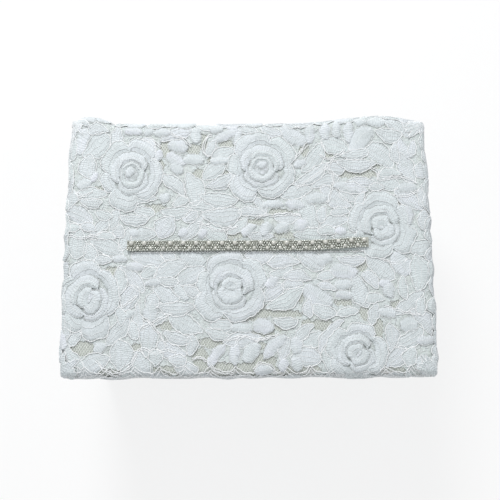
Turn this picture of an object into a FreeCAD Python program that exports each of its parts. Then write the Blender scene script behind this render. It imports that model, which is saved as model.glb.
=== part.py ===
"""Wedding card box: a rigid board box covered in satin and corded rose lace, with a lift-off lid.

The lid has a long narrow card slot, bound in satin, with a sewn strip of pearls and crystal beads
behind it. Millimetres, +Z up, +X to the right, the front faces -Y. The origin is the middle of the
underside, where the felt pad rests on the table.
"""

import FreeCAD, Part
import math
import os
import Sketcher
from FreeCAD import Vector

# Driving dimensions: alias, millimetres or count, what it is.
DIMENSIONS = (
    ("base_length", 285.6, "base box over its bare boards, left to right"),
    ("base_depth", 195.6, "base box over its bare boards, front to back"),
    ("wall_height", 139.5, "base wall boards, bottom edge to top edge"),
    ("board", 3.0, "rigid board thickness, base and lid"),
    ("satin", 0.5, "satin covering thickness"),
    ("turn_in", 14.0, "width of the satin turned in over an edge"),
    ("lining", 1.2, "satin-wrapped lining card thickness"),
    ("lining_drop", 3.0, "base lining below the top edge of the wall"),
    ("card_gap", 0.2, "clearance round a lining card"),
    ("base_lace", 1.2, "lace band thickness on the base"),
    ("base_lace_margin", 3.0, "base lace short of the wall's top and bottom edges"),
    ("felt", 1.5, "felt pad thickness"),
    ("felt_inset", 3.0, "felt pad in from the base boards"),
    ("felt_corner", 6.0, "felt pad corner radius"),
    ("lid_gap", 1.3, "clearance between the base lace and the lid lining, each side"),
    ("rim_height", 44.0, "lid rim boards below the lid top board"),
    ("wadding", 4.0, "padding on the lid top"),
    ("lid_lace", 1.5, "lace cover thickness on the lid"),
    ("edge_round", 4.5, "radius of the lace over the lid's edges and corners"),
    ("hem_drop", 5.0, "lace hem below the lid rim boards"),
    ("scallop_height", 4.5, "height of a hem scallop"),
    ("scallop_flat", 1.0, "straight part at the foot of a hem scallop"),
    ("scallops_long", 12, "hem scallops along the front and back"),
    ("scallops_short", 8, "hem scallops along each end"),
    ("slot_length", 198.0, "clear length of the card slot"),
    ("slot_width", 4.5, "clear width of the card slot"),
    ("binding", 0.5, "satin binding thickness in the slot"),
    ("trim_length", 200.0, "beaded strip, end to end"),
    ("trim_width", 8.8, "beaded strip, front to back"),
    ("trim_tape", 0.6, "thickness of the strip's woven tape"),
    ("trim_x", -0.2, "beaded strip's middle, right of the lid's middle"),
    ("trim_y", -0.4, "beaded strip's middle, behind the lid's middle"),
    ("trim_gap", 0.3, "strip's front edge to the slot's edge"),
    ("bead_pitch", 10.7, "one pearl to the next in a row"),
    ("bead_margin", 6.0, "least tape beyond the end pearls' middles, both ends together"),
    ("big_pearl", 3.8, "diameter of the back row's pearls"),
    ("small_pearl", 3.0, "diameter of the front row's pearls"),
    ("pearl_seat", 0.3, "height of the flat that a pearl is sewn down on"),
    ("back_row", 1.9, "back row of pearls, behind the strip's middle"),
    ("front_row", 2.2, "front row of pearls, in front of the strip's middle"),
    ("edge_crystals", 3.6, "crystals along the back edge, behind the strip's middle"),
    ("middle_crystals", 0.3, "crystals between the rows, in front of the strip's middle"),
    ("front_crystals", 2.6, "crystals in the front row, in front of the strip's middle"),
    ("crystal", 1.5, "crystal bead, corner to corner"),
    ("crystal_height", 1.2, "crystal bead, top to bottom"),
    ("crystal_cut", 0.35, "width of the cut round a crystal's top and bottom"),
)

# Heights, from the table up. Each is a sum of cells of the sheet.
Z_BOARDS = "(dims.felt + dims.satin)"
Z_WALL = f"({Z_BOARDS} + dims.wall_height)"
Z_REST = f"({Z_WALL} + dims.satin)"
Z_LID_BOARD = f"({Z_REST} + dims.lining)"
Z_WADDING = f"({Z_LID_BOARD} + dims.board)"
Z_LID_SATIN = f"({Z_WADDING} + dims.wadding)"
Z_LID_LACE = f"({Z_LID_SATIN} + dims.satin)"
Z_TOP = f"({Z_LID_LACE} + dims.lid_lace)"
Z_RIM = f"({Z_LID_BOARD} - dims.rim_height)"
Z_HEM = f"({Z_RIM} - dims.hem_drop)"


def grown(layers):
    """Length and depth of the base boards, grown by the given thickness on each side."""
    return f"(dims.base_length + 2 * ({layers}))", f"(dims.base_depth + 2 * ({layers}))"


# Outlines in plan, from the inside of the base to the outside of the lid.
BASE_BOARDS = grown("0")
BASE_INSIDE = grown("-dims.board")
BASE_TURN_IN = grown("-dims.board - dims.satin")
BASE_LINED = grown("-dims.board - dims.satin - dims.lining")
BASE_SATIN = grown("dims.satin")
BASE_LACE = grown("dims.satin + dims.base_lace")
LID_CLEAR_SUM = "dims.satin + dims.base_lace + dims.lid_gap"
LID_CLEAR = grown(LID_CLEAR_SUM)
LID_TURN_IN = grown(f"{LID_CLEAR_SUM} + dims.lining")
LID_INSIDE = grown(f"{LID_CLEAR_SUM} + dims.lining + dims.satin")
LID_BOARDS = grown(f"{LID_CLEAR_SUM} + dims.lining + dims.satin + dims.board")
LID_SATIN = grown(f"{LID_CLEAR_SUM} + dims.lining + 2 * dims.satin + dims.board")
LID_LACE = grown(f"{LID_CLEAR_SUM} + dims.lining + 2 * dims.satin + dims.board + dims.lid_lace")

# Rounding of the lid's edges, layer by layer, limited by the boards and the padding inside.
COVERING = "dims.satin + dims.lid_lace"
EDGE_ROUND = f"min(dims.edge_round; 0.9 * dims.board + {COVERING}; 0.9 * dims.wadding + {COVERING})"
SATIN_ROUND = f"({EDGE_ROUND} - dims.lid_lace)"
BOARD_ROUND = f"({SATIN_ROUND} - dims.satin)"
SLOT_Y = "(dims.trim_y - dims.trim_width / 2 - dims.trim_gap - dims.slot_width / 2)"
SLOT_CUT_LENGTH = "(dims.slot_length + 2 * dims.binding)"
SLOT_CUT_WIDTH = "(dims.slot_width + 2 * dims.binding)"

# The beaded strip: as many steps as its tape has room for.
Z_BEADS = f"({Z_TOP} + dims.trim_tape)"
BEAD_STEPS = "floor((dims.trim_length - dims.bead_margin) / dims.bead_pitch)"
FIRST_PEARL = f"(dims.trim_x - {BEAD_STEPS} * dims.bead_pitch / 2)"

# Facets round a pearl and a crystal bead.
PEARL_SIDES = 8
CRYSTAL_SIDES = 6

# Bevels that round a pearl, as shares of its diameter: down the side, then in across the flat.
SHOULDER_BEVEL = (0.375, 0.2)
CROWN_BEVEL = (0.12, 0.12)
SEAT_BEVEL = (0.25, 0.2)

# Distance under which two coordinates count as the same.
SNAP = 1e-5

doc = FreeCAD.newDocument("wedding_card_box")
sheet = doc.addObject("Spreadsheet::Sheet", "dims")
for row, (alias, value, words) in enumerate(DIMENSIONS, start=1):
    sheet.set(f"A{row}", words)
    sheet.set(f"B{row}", str(value))
    sheet.setAlias(f"B{row}", alias)
doc.recompute()

sub_parts = []


def bind(thing, **expressions):
    """Ties properties of an object to the sheet. A double underscore stands for a dot."""
    for name, expression in expressions.items():
        thing.setExpression(name.replace("__", "."), str(expression))


def at(thing, x="0", y="0", z="0"):
    bind(thing, Placement__Base__x=x, Placement__Base__y=y, Placement__Base__z=z)
    return thing


def keep(thing):
    """Marks an object as a finished sub-part, which gets a file of its own."""
    sub_parts.append(thing)
    return thing


def block(name, size, x="0", y="0", z="0"):
    """A plain board or card, centred on x and y and standing on z."""
    made = doc.addObject("Part::Box", name)
    length, depth, height = size
    bind(made, Length=length, Width=depth, Height=height)
    return at(made, f"{x} - ({length}) / 2", f"{y} - ({depth}) / 2", z)


def ring(name, outside, inside, z, height):
    """A rectangular frame, between two outlines in plan."""
    made = doc.addObject("Part::Cut", name)
    made.Base = block(f"{name}_outside", (*outside, height), z=z)
    made.Tool = block(f"{name}_inside", (*inside, height), z=z)
    return made


def new_body(name):
    return doc.addObject("PartDesign::Body", name)


def new_sketch(body, plane):
    """A sketch on one of the body's own origin planes, such as XY_Plane."""
    made = body.newObject("Sketcher::SketchObject", f"{body.Name}_sketch")
    support = next(f for f in body.Origin.OriginFeatures if f.Role == plane)
    made.AttachmentSupport = [(support, "")]
    made.MapMode = "FlatFace"
    return made


def rule(made, name, constraint, expression):
    """Adds a named constraint and ties it to the sheet."""
    index = made.addConstraint(constraint)
    made.renameConstraint(index, name)
    made.setExpression(f"Constraints.{name}", expression)


def draw_rectangle(made, name, length, depth):
    """A rectangle centred on the sketch's origin."""
    half = 10
    corners = [Vector(-half, -half), Vector(half, -half), Vector(half, half), Vector(-half, half)]
    first = made.GeometryCount
    for i in range(4):
        made.addGeometry(Part.LineSegment(corners[i], corners[(i + 1) % 4]), False)
    for i in range(4):
        made.addConstraint(Sketcher.Constraint("Coincident", first + i, 2, first + (i + 1) % 4, 1))
    for i in (0, 2):
        made.addConstraint(Sketcher.Constraint("Horizontal", first + i))
        made.addConstraint(Sketcher.Constraint("Vertical", first + i + 1))
    made.addConstraint(Sketcher.Constraint("Symmetric", first, 1, first + 2, 1, -1, 1))
    rule(made, f"{name}_length", Sketcher.Constraint("DistanceX", first, 1, first, 2, 2 * half), length)
    rule(made, f"{name}_depth", Sketcher.Constraint("DistanceY", first + 1, 1, first + 1, 2, 2 * half), depth)


def draw_slot(made, name, length, width):
    """A long slot with round ends, centred on the sketch's origin."""
    reach, radius = 90, 3
    first = made.GeometryCount
    right = Part.Circle(Vector(reach, 0), Vector(0, 0, 1), radius)
    left = Part.Circle(Vector(-reach, 0), Vector(0, 0, 1), radius)
    made.addGeometry(Part.ArcOfCircle(right, -math.pi / 2, math.pi / 2), False)
    made.addGeometry(Part.LineSegment(Vector(reach, radius), Vector(-reach, radius)), False)
    made.addGeometry(Part.ArcOfCircle(left, math.pi / 2, 3 * math.pi / 2), False)
    made.addGeometry(Part.LineSegment(Vector(-reach, -radius), Vector(reach, -radius)), False)
    for a, b in ((0, 1), (1, 2), (2, 3), (3, 0)):
        made.addConstraint(Sketcher.Constraint("Tangent", first + a, 2, first + b, 1))
    made.addConstraint(Sketcher.Constraint("Symmetric", first, 3, first + 2, 3, -1, 1))
    made.addConstraint(Sketcher.Constraint("Horizontal", first + 1))
    made.addConstraint(Sketcher.Constraint("Equal", first, first + 2))
    rule(made, f"{name}_radius", Sketcher.Constraint("Radius", first, radius), f"({width}) / 2")
    span = Sketcher.Constraint("DistanceX", first + 2, 3, first, 3, 2 * reach)
    rule(made, f"{name}_span", span, f"({length}) - ({width})")


def new_slot_sketch(body):
    """A sketch whose origin is the middle of the card slot."""
    made = new_sketch(body, "XY_Plane")
    bind(made, AttachmentOffset__Base__x="dims.trim_x", AttachmentOffset__Base__y=SLOT_Y)
    return made


def pad(body, made, height):
    feature = body.newObject("PartDesign::Pad", f"{body.Name}_pad")
    feature.Profile = made
    bind(feature, Length=height)
    doc.recompute()
    return feature


def pocket_through(body, made):
    """Cuts the sketch right through the body, both ways from the sketch's plane."""
    before = body.Shape.Volume
    feature = body.newObject("PartDesign::Pocket", f"{body.Name}_pocket")
    feature.Profile = made
    feature.Type = "ThroughAll"
    feature.SideType = "Symmetric"
    doc.recompute()
    if not body.Shape.Volume < before:
        raise ValueError(f"the pocket in {body.Name} cut nothing")
    return feature


def round_edges(body, wanted, radius):
    """Fillets the edges of the body's latest feature that the test picks out."""
    base = body.Tip
    names = [f"Edge{i}" for i, edge in enumerate(base.Shape.Edges, start=1) if wanted(edge)]
    feature = body.newObject("PartDesign::Fillet", f"{body.Name}_fillet")
    feature.Base = (base, names)
    bind(feature, Radius=radius)
    doc.recompute()
    return feature


def is_upright(edge):
    box = edge.BoundBox
    return box.ZLength > SNAP and box.XLength < SNAP and box.YLength < SNAP


def is_at_height(edge, z):
    box = edge.BoundBox
    return abs(box.ZMin - z) < SNAP and abs(box.ZMax - z) < SNAP


def pattern(body, feature, along, length, count):
    """Repeats a feature in a row along one of the body's own axes."""
    made = body.newObject("PartDesign::LinearPattern", f"{body.Name}_row")
    axis = next(f for f in body.Origin.OriginFeatures if f.Role == along)
    made.Originals = [feature]
    made.Direction = (axis, [""])
    bind(made, Length=length, Occurrences=count)
    body.Tip = made
    doc.recompute()
    return made


def rounded_plate(name, outline, height, z, radius):
    """A plate with round upright edges, not yet kept."""
    body = new_body(name)
    made = new_sketch(body, "XY_Plane")
    draw_rectangle(made, "plate", *outline)
    pad(body, made, height)
    round_edges(body, is_upright, radius)
    return at(body, z=z)


def cap(name, outline, z, height, radius, wall):
    """A shallow lid-shaped shell, open below, round over its edges and corners."""
    body = new_body(name)
    made = new_sketch(body, "XY_Plane")
    draw_rectangle(made, "plan", *outline)
    solid = pad(body, made, height)
    top = solid.Shape.BoundBox.ZMax
    rounded = round_edges(body, lambda edge: is_upright(edge) or is_at_height(edge, top), radius)
    faces = rounded.Shape.Faces
    underside = min(range(len(faces)), key=lambda i: faces[i].BoundBox.ZMax)
    shell = body.newObject("PartDesign::Thickness", f"{name}_shell")
    shell.Base = (rounded, [f"Face{underside + 1}"])
    shell.Reversed = True
    bind(shell, Value=wall)
    doc.recompute()
    return at(body, z=z)


def cut_slot(body):
    """Cuts the card slot, at the size that leaves room for its satin binding."""
    made = new_slot_sketch(body)
    draw_slot(made, "slot", SLOT_CUT_LENGTH, SLOT_CUT_WIDTH)
    return pocket_through(body, made)


def make_felt_pad():
    outline = grown("-dims.felt_inset")
    keep(rounded_plate("base_felt_pad", outline, "dims.felt", "0", "dims.felt_corner"))


def make_base_boards():
    length, depth = BASE_BOARDS
    inside_length, inside_depth = BASE_INSIDE
    keep(block("base_floor_board", (inside_length, inside_depth, "dims.board"), z=Z_BOARDS))
    for side, sign in (("front", "-"), ("back", "")):
        middle = f"{sign}({depth} - dims.board) / 2"
        keep(block(f"base_{side}_board", (length, "dims.board", "dims.wall_height"), y=middle, z=Z_BOARDS))
    for side, sign in (("left", "-"), ("right", "")):
        middle = f"{sign}({length} - dims.board) / 2"
        size = ("dims.board", inside_depth, "dims.wall_height")
        keep(block(f"base_{side}_board", size, x=middle, z=Z_BOARDS))


def make_base_satin():
    """Satin over the underside and the four walls, turned in over the top edge."""
    wrap = doc.addObject("Part::Cut", "base_satin_wrap")
    wrap.Base = block("base_satin_outside", (*BASE_SATIN, f"{Z_WALL} - dims.felt"), z="dims.felt")
    wrap.Tool = block("base_satin_inside", (*BASE_BOARDS, "dims.wall_height"), z=Z_BOARDS)
    edge = ring("base_satin_edge", BASE_SATIN, BASE_TURN_IN, Z_WALL, "dims.satin")
    turned = ring("base_satin_turned", BASE_INSIDE, BASE_TURN_IN, f"{Z_WALL} - dims.turn_in", "dims.turn_in")
    made = doc.addObject("Part::MultiFuse", "base_satin_cover")
    made.Shapes = [wrap, edge, turned]
    made.Refine = True
    keep(made)


def make_base_lace():
    """Lace band glued round the base walls."""
    body = new_body("base_lace_band")
    made = new_sketch(body, "XY_Plane")
    draw_rectangle(made, "outside", *BASE_LACE)
    draw_rectangle(made, "inside", *BASE_SATIN)
    pad(body, made, "dims.wall_height - 2 * dims.base_lace_margin")
    reach = body.Shape.BoundBox.XMax - SNAP
    round_edges(body, lambda edge: is_upright(edge) and abs(edge.BoundBox.Center.x) > reach, "dims.base_lace")
    keep(at(body, z=f"{Z_BOARDS} + dims.base_lace_margin"))


def make_base_lining():
    """Five loose cards wrapped in satin: the floor first, then the long walls, then the ends."""
    floor_z = f"({Z_BOARDS} + dims.board)"
    length, depth = (f"({side} - 2 * dims.card_gap)" for side in BASE_TURN_IN)
    wall_z = f"({floor_z} + dims.lining)"
    height = f"({Z_WALL} - dims.lining_drop - {wall_z})"
    keep(block("base_lining_floor", (length, depth, "dims.lining"), z=floor_z))
    for side, sign in (("front", "-"), ("back", "")):
        middle = f"{sign}({BASE_TURN_IN[1]} - dims.lining) / 2"
        keep(block(f"base_lining_{side}", (length, "dims.lining", height), y=middle, z=wall_z))
    for side, sign in (("left", "-"), ("right", "")):
        middle = f"{sign}({BASE_TURN_IN[0]} - dims.lining) / 2"
        size = ("dims.lining", f"{BASE_LINED[1]} - 2 * dims.card_gap", height)
        keep(block(f"base_lining_{side}", size, x=middle, z=wall_z))


def make_lid_boards():
    """The slotted top board, with four rim boards butted under it."""
    top = rounded_plate("lid_top_board", LID_BOARDS, "dims.board", Z_LID_BOARD, BOARD_ROUND)
    cut_slot(top)
    keep(top)
    length, depth = LID_BOARDS
    for side, sign in (("front", "-"), ("back", "")):
        rim = new_body(f"lid_{side}_rim_board")
        made = new_sketch(rim, "XY_Plane")
        draw_rectangle(made, "rim", length, "dims.board")
        pad(rim, made, "dims.rim_height")
        outward = -1 if sign else 1
        round_edges(rim, lambda edge: is_upright(edge) and edge.BoundBox.Center.y * outward > 0, BOARD_ROUND)
        keep(at(rim, y=f"{sign}({depth} - dims.board) / 2", z=Z_RIM))
    for side, sign in (("left", "-"), ("right", "")):
        size = ("dims.board", LID_INSIDE[1], "dims.rim_height")
        keep(block(f"lid_{side}_rim_board", size, x=f"{sign}({length} - dims.board) / 2", z=Z_RIM))


def make_lid_lining():
    """A slotted card on the lid's ceiling, and four strips inside the rim."""
    ceiling = new_body("lid_lining_ceiling")
    made = new_sketch(ceiling, "XY_Plane")
    draw_rectangle(made, "card", *(f"{side} - 2 * dims.card_gap" for side in LID_INSIDE))
    pad(ceiling, made, "dims.lining")
    cut_slot(ceiling)
    keep(at(ceiling, z=Z_REST))
    height = f"({Z_REST} - {Z_RIM})"
    for side, sign in (("front", "-"), ("back", "")):
        middle = f"{sign}({LID_TURN_IN[1]} - dims.lining) / 2"
        size = (f"{LID_TURN_IN[0]} - 2 * dims.card_gap", "dims.lining", height)
        keep(block(f"lid_lining_{side}", size, y=middle, z=Z_RIM))
    for side, sign in (("left", "-"), ("right", "")):
        middle = f"{sign}({LID_TURN_IN[0]} - dims.lining) / 2"
        size = ("dims.lining", f"{LID_CLEAR[1]} - 2 * dims.card_gap", height)
        keep(block(f"lid_lining_{side}", size, x=middle, z=Z_RIM))


def make_lid_wadding():
    """A sheet of padding on the lid top, its edges and corners trimmed on the slant."""
    body = new_body("lid_wadding")
    made = new_sketch(body, "XY_Plane")
    draw_rectangle(made, "sheet", *LID_BOARDS)
    solid = pad(body, made, "dims.wadding")
    top = solid.Shape.BoundBox.ZMax
    edges = enumerate(solid.Shape.Edges, start=1)
    names = [f"Edge{i}" for i, edge in edges if is_upright(edge) or is_at_height(edge, top)]
    trimmed = body.newObject("PartDesign::Chamfer", "lid_wadding_trimmed")
    trimmed.Base = (solid, names)
    bind(trimmed, Size=BOARD_ROUND)
    doc.recompute()
    cut_slot(body)
    keep(at(body, z=Z_WADDING))


def make_lid_satin():
    """Satin over the padding and the rim, turned in round the rim's lower edge."""
    cover = cap("lid_satin_cap", LID_SATIN, Z_RIM, f"{Z_LID_LACE} - {Z_RIM}", SATIN_ROUND, "dims.satin")
    cut_slot(cover)
    edge = rounded_plate("lid_satin_edge_plate", LID_SATIN, "dims.satin", f"{Z_RIM} - dims.satin", SATIN_ROUND)
    hollow = block("lid_satin_edge_hollow", (*LID_TURN_IN, "dims.satin"), z=f"{Z_RIM} - dims.satin")
    under = doc.addObject("Part::Cut", "lid_satin_under")
    under.Base = edge
    under.Tool = hollow
    turned = ring("lid_satin_turned", LID_INSIDE, LID_TURN_IN, Z_RIM, "dims.turn_in")
    made = doc.addObject("Part::MultiFuse", "lid_satin_cover")
    made.Shapes = [cover, under, turned]
    made.Refine = True
    keep(made)


def draw_hem_notch(made, pitch):
    """The gap between two hem scallops: two arcs that meet in a cusp, closed below the hem."""
    half, height, below = 8.0, 4.0, 2.0
    radius = (half**2 + height**2) / (2 * height)
    turn = math.atan2(height - radius, half)
    left = Part.Circle(Vector(-half, radius), Vector(0, 0, 1), radius)
    right = Part.Circle(Vector(half, radius), Vector(0, 0, 1), radius)
    made.addGeometry(Part.ArcOfCircle(left, -math.pi / 2, turn), False)
    made.addGeometry(Part.ArcOfCircle(right, math.pi - turn, 3 * math.pi / 2), False)
    corners = [Vector(half, 0), Vector(half, -below), Vector(-half, -below), Vector(-half, 0)]
    for start, end in zip(corners, corners[1:]):
        made.addGeometry(Part.LineSegment(start, end), False)
    for a, a_end, b, b_end in ((0, 2, 1, 1), (1, 2, 2, 1), (2, 2, 3, 1), (3, 2, 4, 1), (4, 2, 0, 1)):
        made.addConstraint(Sketcher.Constraint("Coincident", a, a_end, b, b_end))
    made.addConstraint(Sketcher.Constraint("PointOnObject", 0, 2, -2))
    made.addConstraint(Sketcher.Constraint("PointOnObject", 0, 1, -1))
    made.addConstraint(Sketcher.Constraint("Symmetric", 0, 1, 1, 2, -2))
    made.addConstraint(Sketcher.Constraint("Vertical", 0, 1, 0, 3))
    made.addConstraint(Sketcher.Constraint("Vertical", 1, 2, 1, 3))
    made.addConstraint(Sketcher.Constraint("Vertical", 2))
    made.addConstraint(Sketcher.Constraint("Horizontal", 3))
    made.addConstraint(Sketcher.Constraint("Vertical", 4))
    made.addConstraint(Sketcher.Constraint("DistanceY", 2, 2, 2, 1, below))
    width = f"{pitch} - dims.scallop_flat"
    rule(made, "width", Sketcher.Constraint("DistanceX", 0, 1, 1, 2, 2 * half), width)
    rule(made, "height", Sketcher.Constraint("DistanceY", -1, 1, 0, 2, height), "dims.scallop_height")


def scallop_hem(body, plane, axis, side, count):
    """Cuts a row of hem scallops through two opposite sides of the lace."""
    run = f"({side} - 2 * {EDGE_ROUND})"
    pitch = f"({run} / {count})"
    made = new_sketch(body, plane)
    draw_hem_notch(made, pitch)
    bind(made, AttachmentOffset__Base__x=f"({pitch} - {run}) / 2")
    notch = pocket_through(body, made)
    pattern(body, notch, axis, f"{run} - {pitch}", count)


def make_lid_lace():
    """Lace over the lid, hanging below the rim in a scalloped hem."""
    body = cap("lid_lace_cover", LID_LACE, Z_HEM, f"{Z_TOP} - {Z_HEM}", EDGE_ROUND, "dims.lid_lace")
    cut_slot(body)
    scallop_hem(body, "XZ_Plane", "X_Axis", LID_LACE[0], "dims.scallops_long")
    scallop_hem(body, "YZ_Plane", "Y_Axis", LID_LACE[1], "dims.scallops_short")
    keep(body)


def make_slot_binding():
    """A satin ribbon folded through the slot, from the lining up to the lace."""
    body = new_body("slot_binding")
    made = new_slot_sketch(body)
    draw_slot(made, "outside", SLOT_CUT_LENGTH, SLOT_CUT_WIDTH)
    draw_slot(made, "inside", "dims.slot_length", "dims.slot_width")
    pad(body, made, f"{Z_TOP} - {Z_REST}")
    keep(at(body, z=Z_REST))


def make_trim_tape():
    """The woven tape that carries the beads, sewn down behind the slot."""
    body = new_body("trim_tape")
    made = new_sketch(body, "XY_Plane")
    draw_rectangle(made, "tape", "dims.trim_length", "dims.trim_width")
    pad(body, made, "dims.trim_tape")
    keep(at(body, "dims.trim_x", "dims.trim_y", Z_TOP))


def draw_polygon(made, sides, width):
    """A regular polygon round the sketch's origin, with a corner on the horizontal axis."""
    radius = 1.0
    corners = [
        Vector(radius * math.cos(math.tau * i / sides), radius * math.sin(math.tau * i / sides))
        for i in range(sides)
    ]
    for i in range(sides):
        made.addGeometry(Part.LineSegment(corners[i], corners[(i + 1) % sides]), False)
    outer_circle = made.addGeometry(Part.Circle(Vector(0, 0), Vector(0, 0, 1), radius), True)
    made.addConstraint(Sketcher.Constraint("Coincident", outer_circle, 3, -1, 1))
    for i in range(sides):
        made.addConstraint(Sketcher.Constraint("Coincident", i, 2, (i + 1) % sides, 1))
        made.addConstraint(Sketcher.Constraint("PointOnObject", i, 1, outer_circle))
    for i in range(1, sides):
        made.addConstraint(Sketcher.Constraint("Equal", 0, i))
    made.addConstraint(Sketcher.Constraint("PointOnObject", 0, 1, -1))
    rule(made, "radius", Sketcher.Constraint("Radius", outer_circle, radius), f"{width} / 2")


def bevel_ring(body, z, rise, inward):
    """Cuts back the ring of edges at one height: rise up the side, inward across the flat."""
    base = body.Tip
    names = [f"Edge{i}" for i, edge in enumerate(base.Shape.Edges, start=1) if is_at_height(edge, z)]
    feature = body.newObject("PartDesign::Chamfer", f"{body.Name}_bevel")
    feature.Base = (base, names)
    feature.ChamferType = "Two distances"
    bind(feature, Size=rise, Size2=inward)
    doc.recompute()
    return feature


def repeat_along_tape(body, count):
    """Repeats the whole body along the beaded strip, one step apart."""
    made = body.newObject("PartDesign::LinearPattern", f"{body.Name}_row")
    made.TransformMode = "Whole shape"
    made.Direction = (next(f for f in body.Origin.OriginFeatures if f.Role == "X_Axis"), [""])
    bind(made, Length=f"({count} - 1) * dims.bead_pitch", Occurrences=count)
    body.Tip = made
    doc.recompute()


def make_pearls(name, diameter, count, first, y):
    """A row of pearls: faceted round beads, each flattened where it is sewn down."""
    body = new_body(name)
    made = new_sketch(body, "XY_Plane")
    draw_polygon(made, PEARL_SIDES, diameter)
    crown = pad(body, made, f"{diameter} - dims.pearl_seat").Shape.BoundBox.ZMax
    for z, (rise, inward) in ((crown, SHOULDER_BEVEL), (crown, CROWN_BEVEL), (0, SEAT_BEVEL)):
        bevel_ring(body, z, f"{rise} * {diameter}", f"{inward} * {diameter}")
    repeat_along_tape(body, count)
    keep(at(body, first, y, Z_BEADS))


def make_crystals():
    """Cut crystal beads among the pearls: a small group for each step of the strip."""
    body = new_body("trim_crystals")
    places = (
        (0.5, "dims.edge_crystals"),
        (0.25, "-dims.middle_crystals"),
        (0.75, "-dims.middle_crystals"),
        (0, "-dims.front_crystals"),
    )
    for step, y in places:
        made = new_sketch(body, "XY_Plane")
        draw_polygon(made, CRYSTAL_SIDES, "dims.crystal")
        bind(made, AttachmentOffset__Base__x=f"{step} * dims.bead_pitch", AttachmentOffset__Base__y=y)
        pad(body, made, "dims.crystal_height")
    for z in (body.Shape.BoundBox.ZMax, 0):
        bevel_ring(body, z, "dims.crystal_cut", "dims.crystal_cut")
    repeat_along_tape(body, BEAD_STEPS)
    keep(at(body, FIRST_PEARL, "dims.trim_y", Z_BEADS))


def check_document():
    """Stops before anything is written if an object failed or a sub-part's shape is unsound."""
    doc.recompute()
    for thing in doc.Objects:
        if "Invalid" in thing.State or "Error" in thing.State:
            raise ValueError(f"{thing.Label} failed: {thing.State}")
    for thing in sub_parts:
        if thing.Shape.isNull() or not thing.Shape.isValid() or not thing.Shape.Solids:
            raise ValueError(f"{thing.Label} has no sound shape")


def write_sub_parts():
    os.makedirs("parts", exist_ok=True)
    for thing in sub_parts:
        thing.Shape.exportStep(f"parts/{thing.Label}.step")
        solids = len(thing.Shape.Solids)
        print(f"{thing.Label}: {solids} solid, {thing.Shape.Volume:.0f} cubic mm")


make_felt_pad()
make_base_boards()
make_base_satin()
make_base_lace()
make_base_lining()
make_lid_boards()
make_lid_lining()
make_lid_wadding()
make_lid_satin()
make_lid_lace()
make_slot_binding()
make_trim_tape()
make_pearls("trim_big_pearls", "dims.big_pearl", f"({BEAD_STEPS} + 1)", FIRST_PEARL,
            "dims.trim_y + dims.back_row")
make_pearls("trim_small_pearls", "dims.small_pearl", BEAD_STEPS, f"{FIRST_PEARL} + dims.bead_pitch / 2",
            "dims.trim_y - dims.front_row")
make_crystals()
check_document()
write_sub_parts()
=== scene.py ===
"""Looks of the wedding card box: satin, corded rose lace, net, beads and linings round its CAD frame."""
import math
import random

import bpy
import numpy as np
from mathutils import Matrix, Vector


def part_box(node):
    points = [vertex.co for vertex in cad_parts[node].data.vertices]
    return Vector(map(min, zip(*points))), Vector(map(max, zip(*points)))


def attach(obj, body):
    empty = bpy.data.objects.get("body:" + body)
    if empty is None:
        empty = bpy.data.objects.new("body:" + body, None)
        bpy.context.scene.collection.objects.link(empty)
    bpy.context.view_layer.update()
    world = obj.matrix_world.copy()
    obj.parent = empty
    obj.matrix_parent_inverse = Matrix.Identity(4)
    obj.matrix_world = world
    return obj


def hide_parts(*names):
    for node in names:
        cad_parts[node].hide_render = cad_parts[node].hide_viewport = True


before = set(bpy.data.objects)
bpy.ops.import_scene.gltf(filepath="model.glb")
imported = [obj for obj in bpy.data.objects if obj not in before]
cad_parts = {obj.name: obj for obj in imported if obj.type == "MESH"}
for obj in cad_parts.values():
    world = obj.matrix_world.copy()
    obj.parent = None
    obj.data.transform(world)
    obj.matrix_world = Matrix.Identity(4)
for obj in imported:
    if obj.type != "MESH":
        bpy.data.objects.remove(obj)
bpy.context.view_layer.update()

MM = 0.001
QUARTER = math.pi / 2


def node_box(name):
    """Lowest and highest corner of a CAD node, in millimetres."""
    low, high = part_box(name)
    return np.array(low) / MM, np.array(high) / MM


# Sizes taken from the frame, in millimetres.
LID_LOW, LID_HIGH = node_box("lid_satin_cover")
LID_INSIDE = node_box("lid_lining_right")[1][0]
LACE_HEM = node_box("lid_lace_cover")[0][2]
LACE_TOP = node_box("lid_lace_cover")[1][2]
BASE_LOW, BASE_HIGH = node_box("base_satin_cover")
BAND_LOW, BAND_HIGH = node_box("base_lace_band")
SLOT_LOW, SLOT_HIGH = node_box("slot_binding")
TAPE_LOW, TAPE_HIGH = node_box("trim_tape")
TAPE_MIDDLE = (TAPE_LOW + TAPE_HIGH)[:2] / 2
TAPE_HALF = (TAPE_HIGH - TAPE_LOW)[:2] / 2

# The satin's thickness and turn-in, in millimetres, and the points of a loop at each corner and side.
SATIN = 0.5
TURN_IN = 14.0
CORNER_POINTS = 6
SIDE_POINTS = 30

# The card slot: half width of its opening with its binding, and the ends of its middle line.
SLOT_MIDDLE = (SLOT_LOW + SLOT_HIGH)[:2] / 2
SLOT_HALF = (SLOT_HIGH - SLOT_LOW)[1] / 2
SLOT_REACH = (SLOT_HIGH - SLOT_LOW)[0] / 2 - SLOT_HALF

# The lace laps over the slot from the front and leaves a slit, edged with loops, beside the beaded strip.
SLIT_HALF = 0.25
SLIT_Y = SLOT_MIDDLE[1] + SLOT_HALF - 0.4 - SLIT_HALF
SLIT_LOOP = 2.6

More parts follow.
